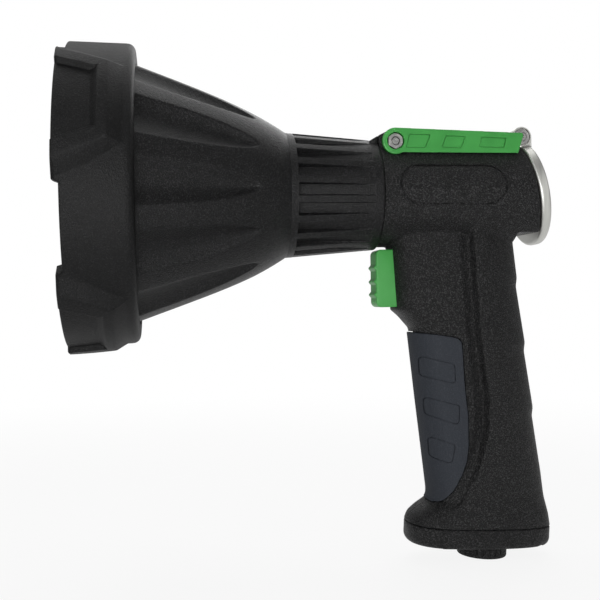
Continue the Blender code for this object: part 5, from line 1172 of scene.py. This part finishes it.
# Lens, seal and reflector. A clear disc held by the bezel's lip on a rubber ring, over a deep metallised
# bowl that gathers the emitter's light into a beam.
collar_radius, lens_edge = ring_bore - fit, 0.0004
lens_front = lip_rear + fit
lens_thickness, seal_thickness = 0.0030, 0.0015
lens_rear = lens_front + lens_thickness
lens_profile = [
    (lens_front, collar_radius - lens_edge), (lens_front + lens_edge, collar_radius),
    (lens_rear - lens_edge, collar_radius), (lens_rear, collar_radius - lens_edge),
]
lens = turned("lens_disc", lens_profile, 160)
glass = Finish("lens_clear", (0.93, 0.95, 0.95), 0.03, Alpha=0.16, Specular_IOR_Level=0.55)
smear = glass.noise(35, 3.0, 0.6)
glass.feed("Roughness", 0.02 + smear.between(0.45, 0.75) * 0.05)
settle(placed(lens), "lamp", "clear_lens", glass.material, "lens")
seal_front = lens_rear + fit
seal_rear = seal_front + seal_thickness
seal_shoulder, seal_bore, seal_edge = collar_radius - 0.0041, collar_radius - 0.0045, 0.0004
seal_rows = [
    (seal_front, collar_radius), (seal_rear, collar_radius), (seal_rear, seal_shoulder),
    (seal_rear - seal_edge, seal_bore), (seal_front + seal_edge, seal_bore), (seal_front, seal_shoulder),
]
seal = spun("seal_ring", seal_rows, np.linspace(0, 2 * math.pi, 128, endpoint=False))
seal_black = mould_black("seal_black", (0.012, 0.012, 0.012), 0.80, 1900, 0.00006, 0.25)
settle(seal, "lamp", "seal_rubber", seal_black, "lens_seal")

rim_radius, bowl_length, bowl_wall, bowl_hole, flange_wall = 0.0555, 0.0756, 0.0012, 0.0062, 0.0015
flange_face = seal_rear + fit
flange_back = flange_face + flange_wall
vertex = flange_face + bowl_length
radii = np.linspace(rim_radius, bowl_hole, 40)
bowl_rows = [(vertex - bowl_length * (r / rim_radius) ** 2, r) for r in radii]
bowl_rows += [(along + bowl_wall, r) for along, r in bowl_rows[:0:-1]]
bowl_rows += [
    (flange_back, rim_radius + bowl_wall), (flange_back, collar_radius), (flange_face, collar_radius),
]
bowl = spun("reflector_bowl", bowl_rows, np.linspace(0, 2 * math.pi, 144, endpoint=False))
mirror = Finish("mirror_coat", (0.86, 0.86, 0.86), 0.07, 1.0)
peel = mirror.noise(900, 2.0, 0.5)
dulled = mirror.noise(40, 3.0, 0.5)
mirrored_skin = mirror.dress(
    dulled, (0.82, 0.82, 0.82), (0.90, 0.90, 0.89), 0.05 + dulled * 0.06, peel, 0.000012
)
settle(bowl, "lamp", "reflector_chrome", mirrored_skin, "reflector")

# Inside pieces. They keep their own solids: emitter on its board, finned heat sink, switch behind the
# trigger, control board, cells in their holder, and the charging socket.
phosphor = Finish("phosphor", (0.80, 0.60, 0.10), 0.34)
flake = phosphor.noise(3000, 2.0, 0.6)
phosphor_skin = phosphor.dress(flake, (0.72, 0.52, 0.07), (0.88, 0.70, 0.16), 0.34, flake, 0.00003)

solder_mask = Finish("solder_mask", (0.010, 0.095, 0.040), 0.38)
weave = solder_mask.cells(900, 0.4)
bricks = {"Vector": solder_mask.place(), "Scale": 260, "Mortar Size": 0.06}
tracks = solder_mask.add("ShaderNodeTexBrick", {"offset": 0.35}, bricks, 1)
board_skin = solder_mask.dress(
    tracks * 0.7 + weave * 0.2, (0.008, 0.080, 0.034), (0.020, 0.160, 0.070),
    0.34 + weave * 0.10, tracks, 0.00003,
)

cell_wrap = Finish("cell_wrap", (0.030, 0.100, 0.320), 0.36, Coat_Weight=0.3)
crinkle = cell_wrap.noise(160, 3.0, 0.6)
cell_skin = cell_wrap.dress(
    crinkle, (0.024, 0.080, 0.270), (0.040, 0.125, 0.370), 0.30 + crinkle * 0.16, crinkle, 0.00008
)

fin_metal = Finish("fin_metal", (0.60, 0.60, 0.58), 0.38, 1.0)
turning = fin_metal.noise(1.0, 2.0, 0.5, fin_metal.stretched((1400, 90, 90)))
fin_skin = fin_metal.dress(
    turning, (0.54, 0.54, 0.52), (0.68, 0.68, 0.66), 0.32 + turning * 0.16, turning, 0.00003
)

holder_grey = mould_black("holder_grey", (0.080, 0.080, 0.086), 0.55, 1800, 0.00006, 0.20)

inner_finishes = {
    "led_emitter": phosphor_skin, "led_board": board_skin, "control_board": board_skin,
    "battery_cell_1": cell_skin, "battery_cell_2": cell_skin, "battery_holder": holder_grey,
    "trigger_switch": holder_grey, "charge_socket": holder_grey, "heat_sink": fin_skin,
}
for name, finish in inner_finishes.items():
    nodes[name].data.materials.clear()
    nodes[name].data.materials.append(finish)
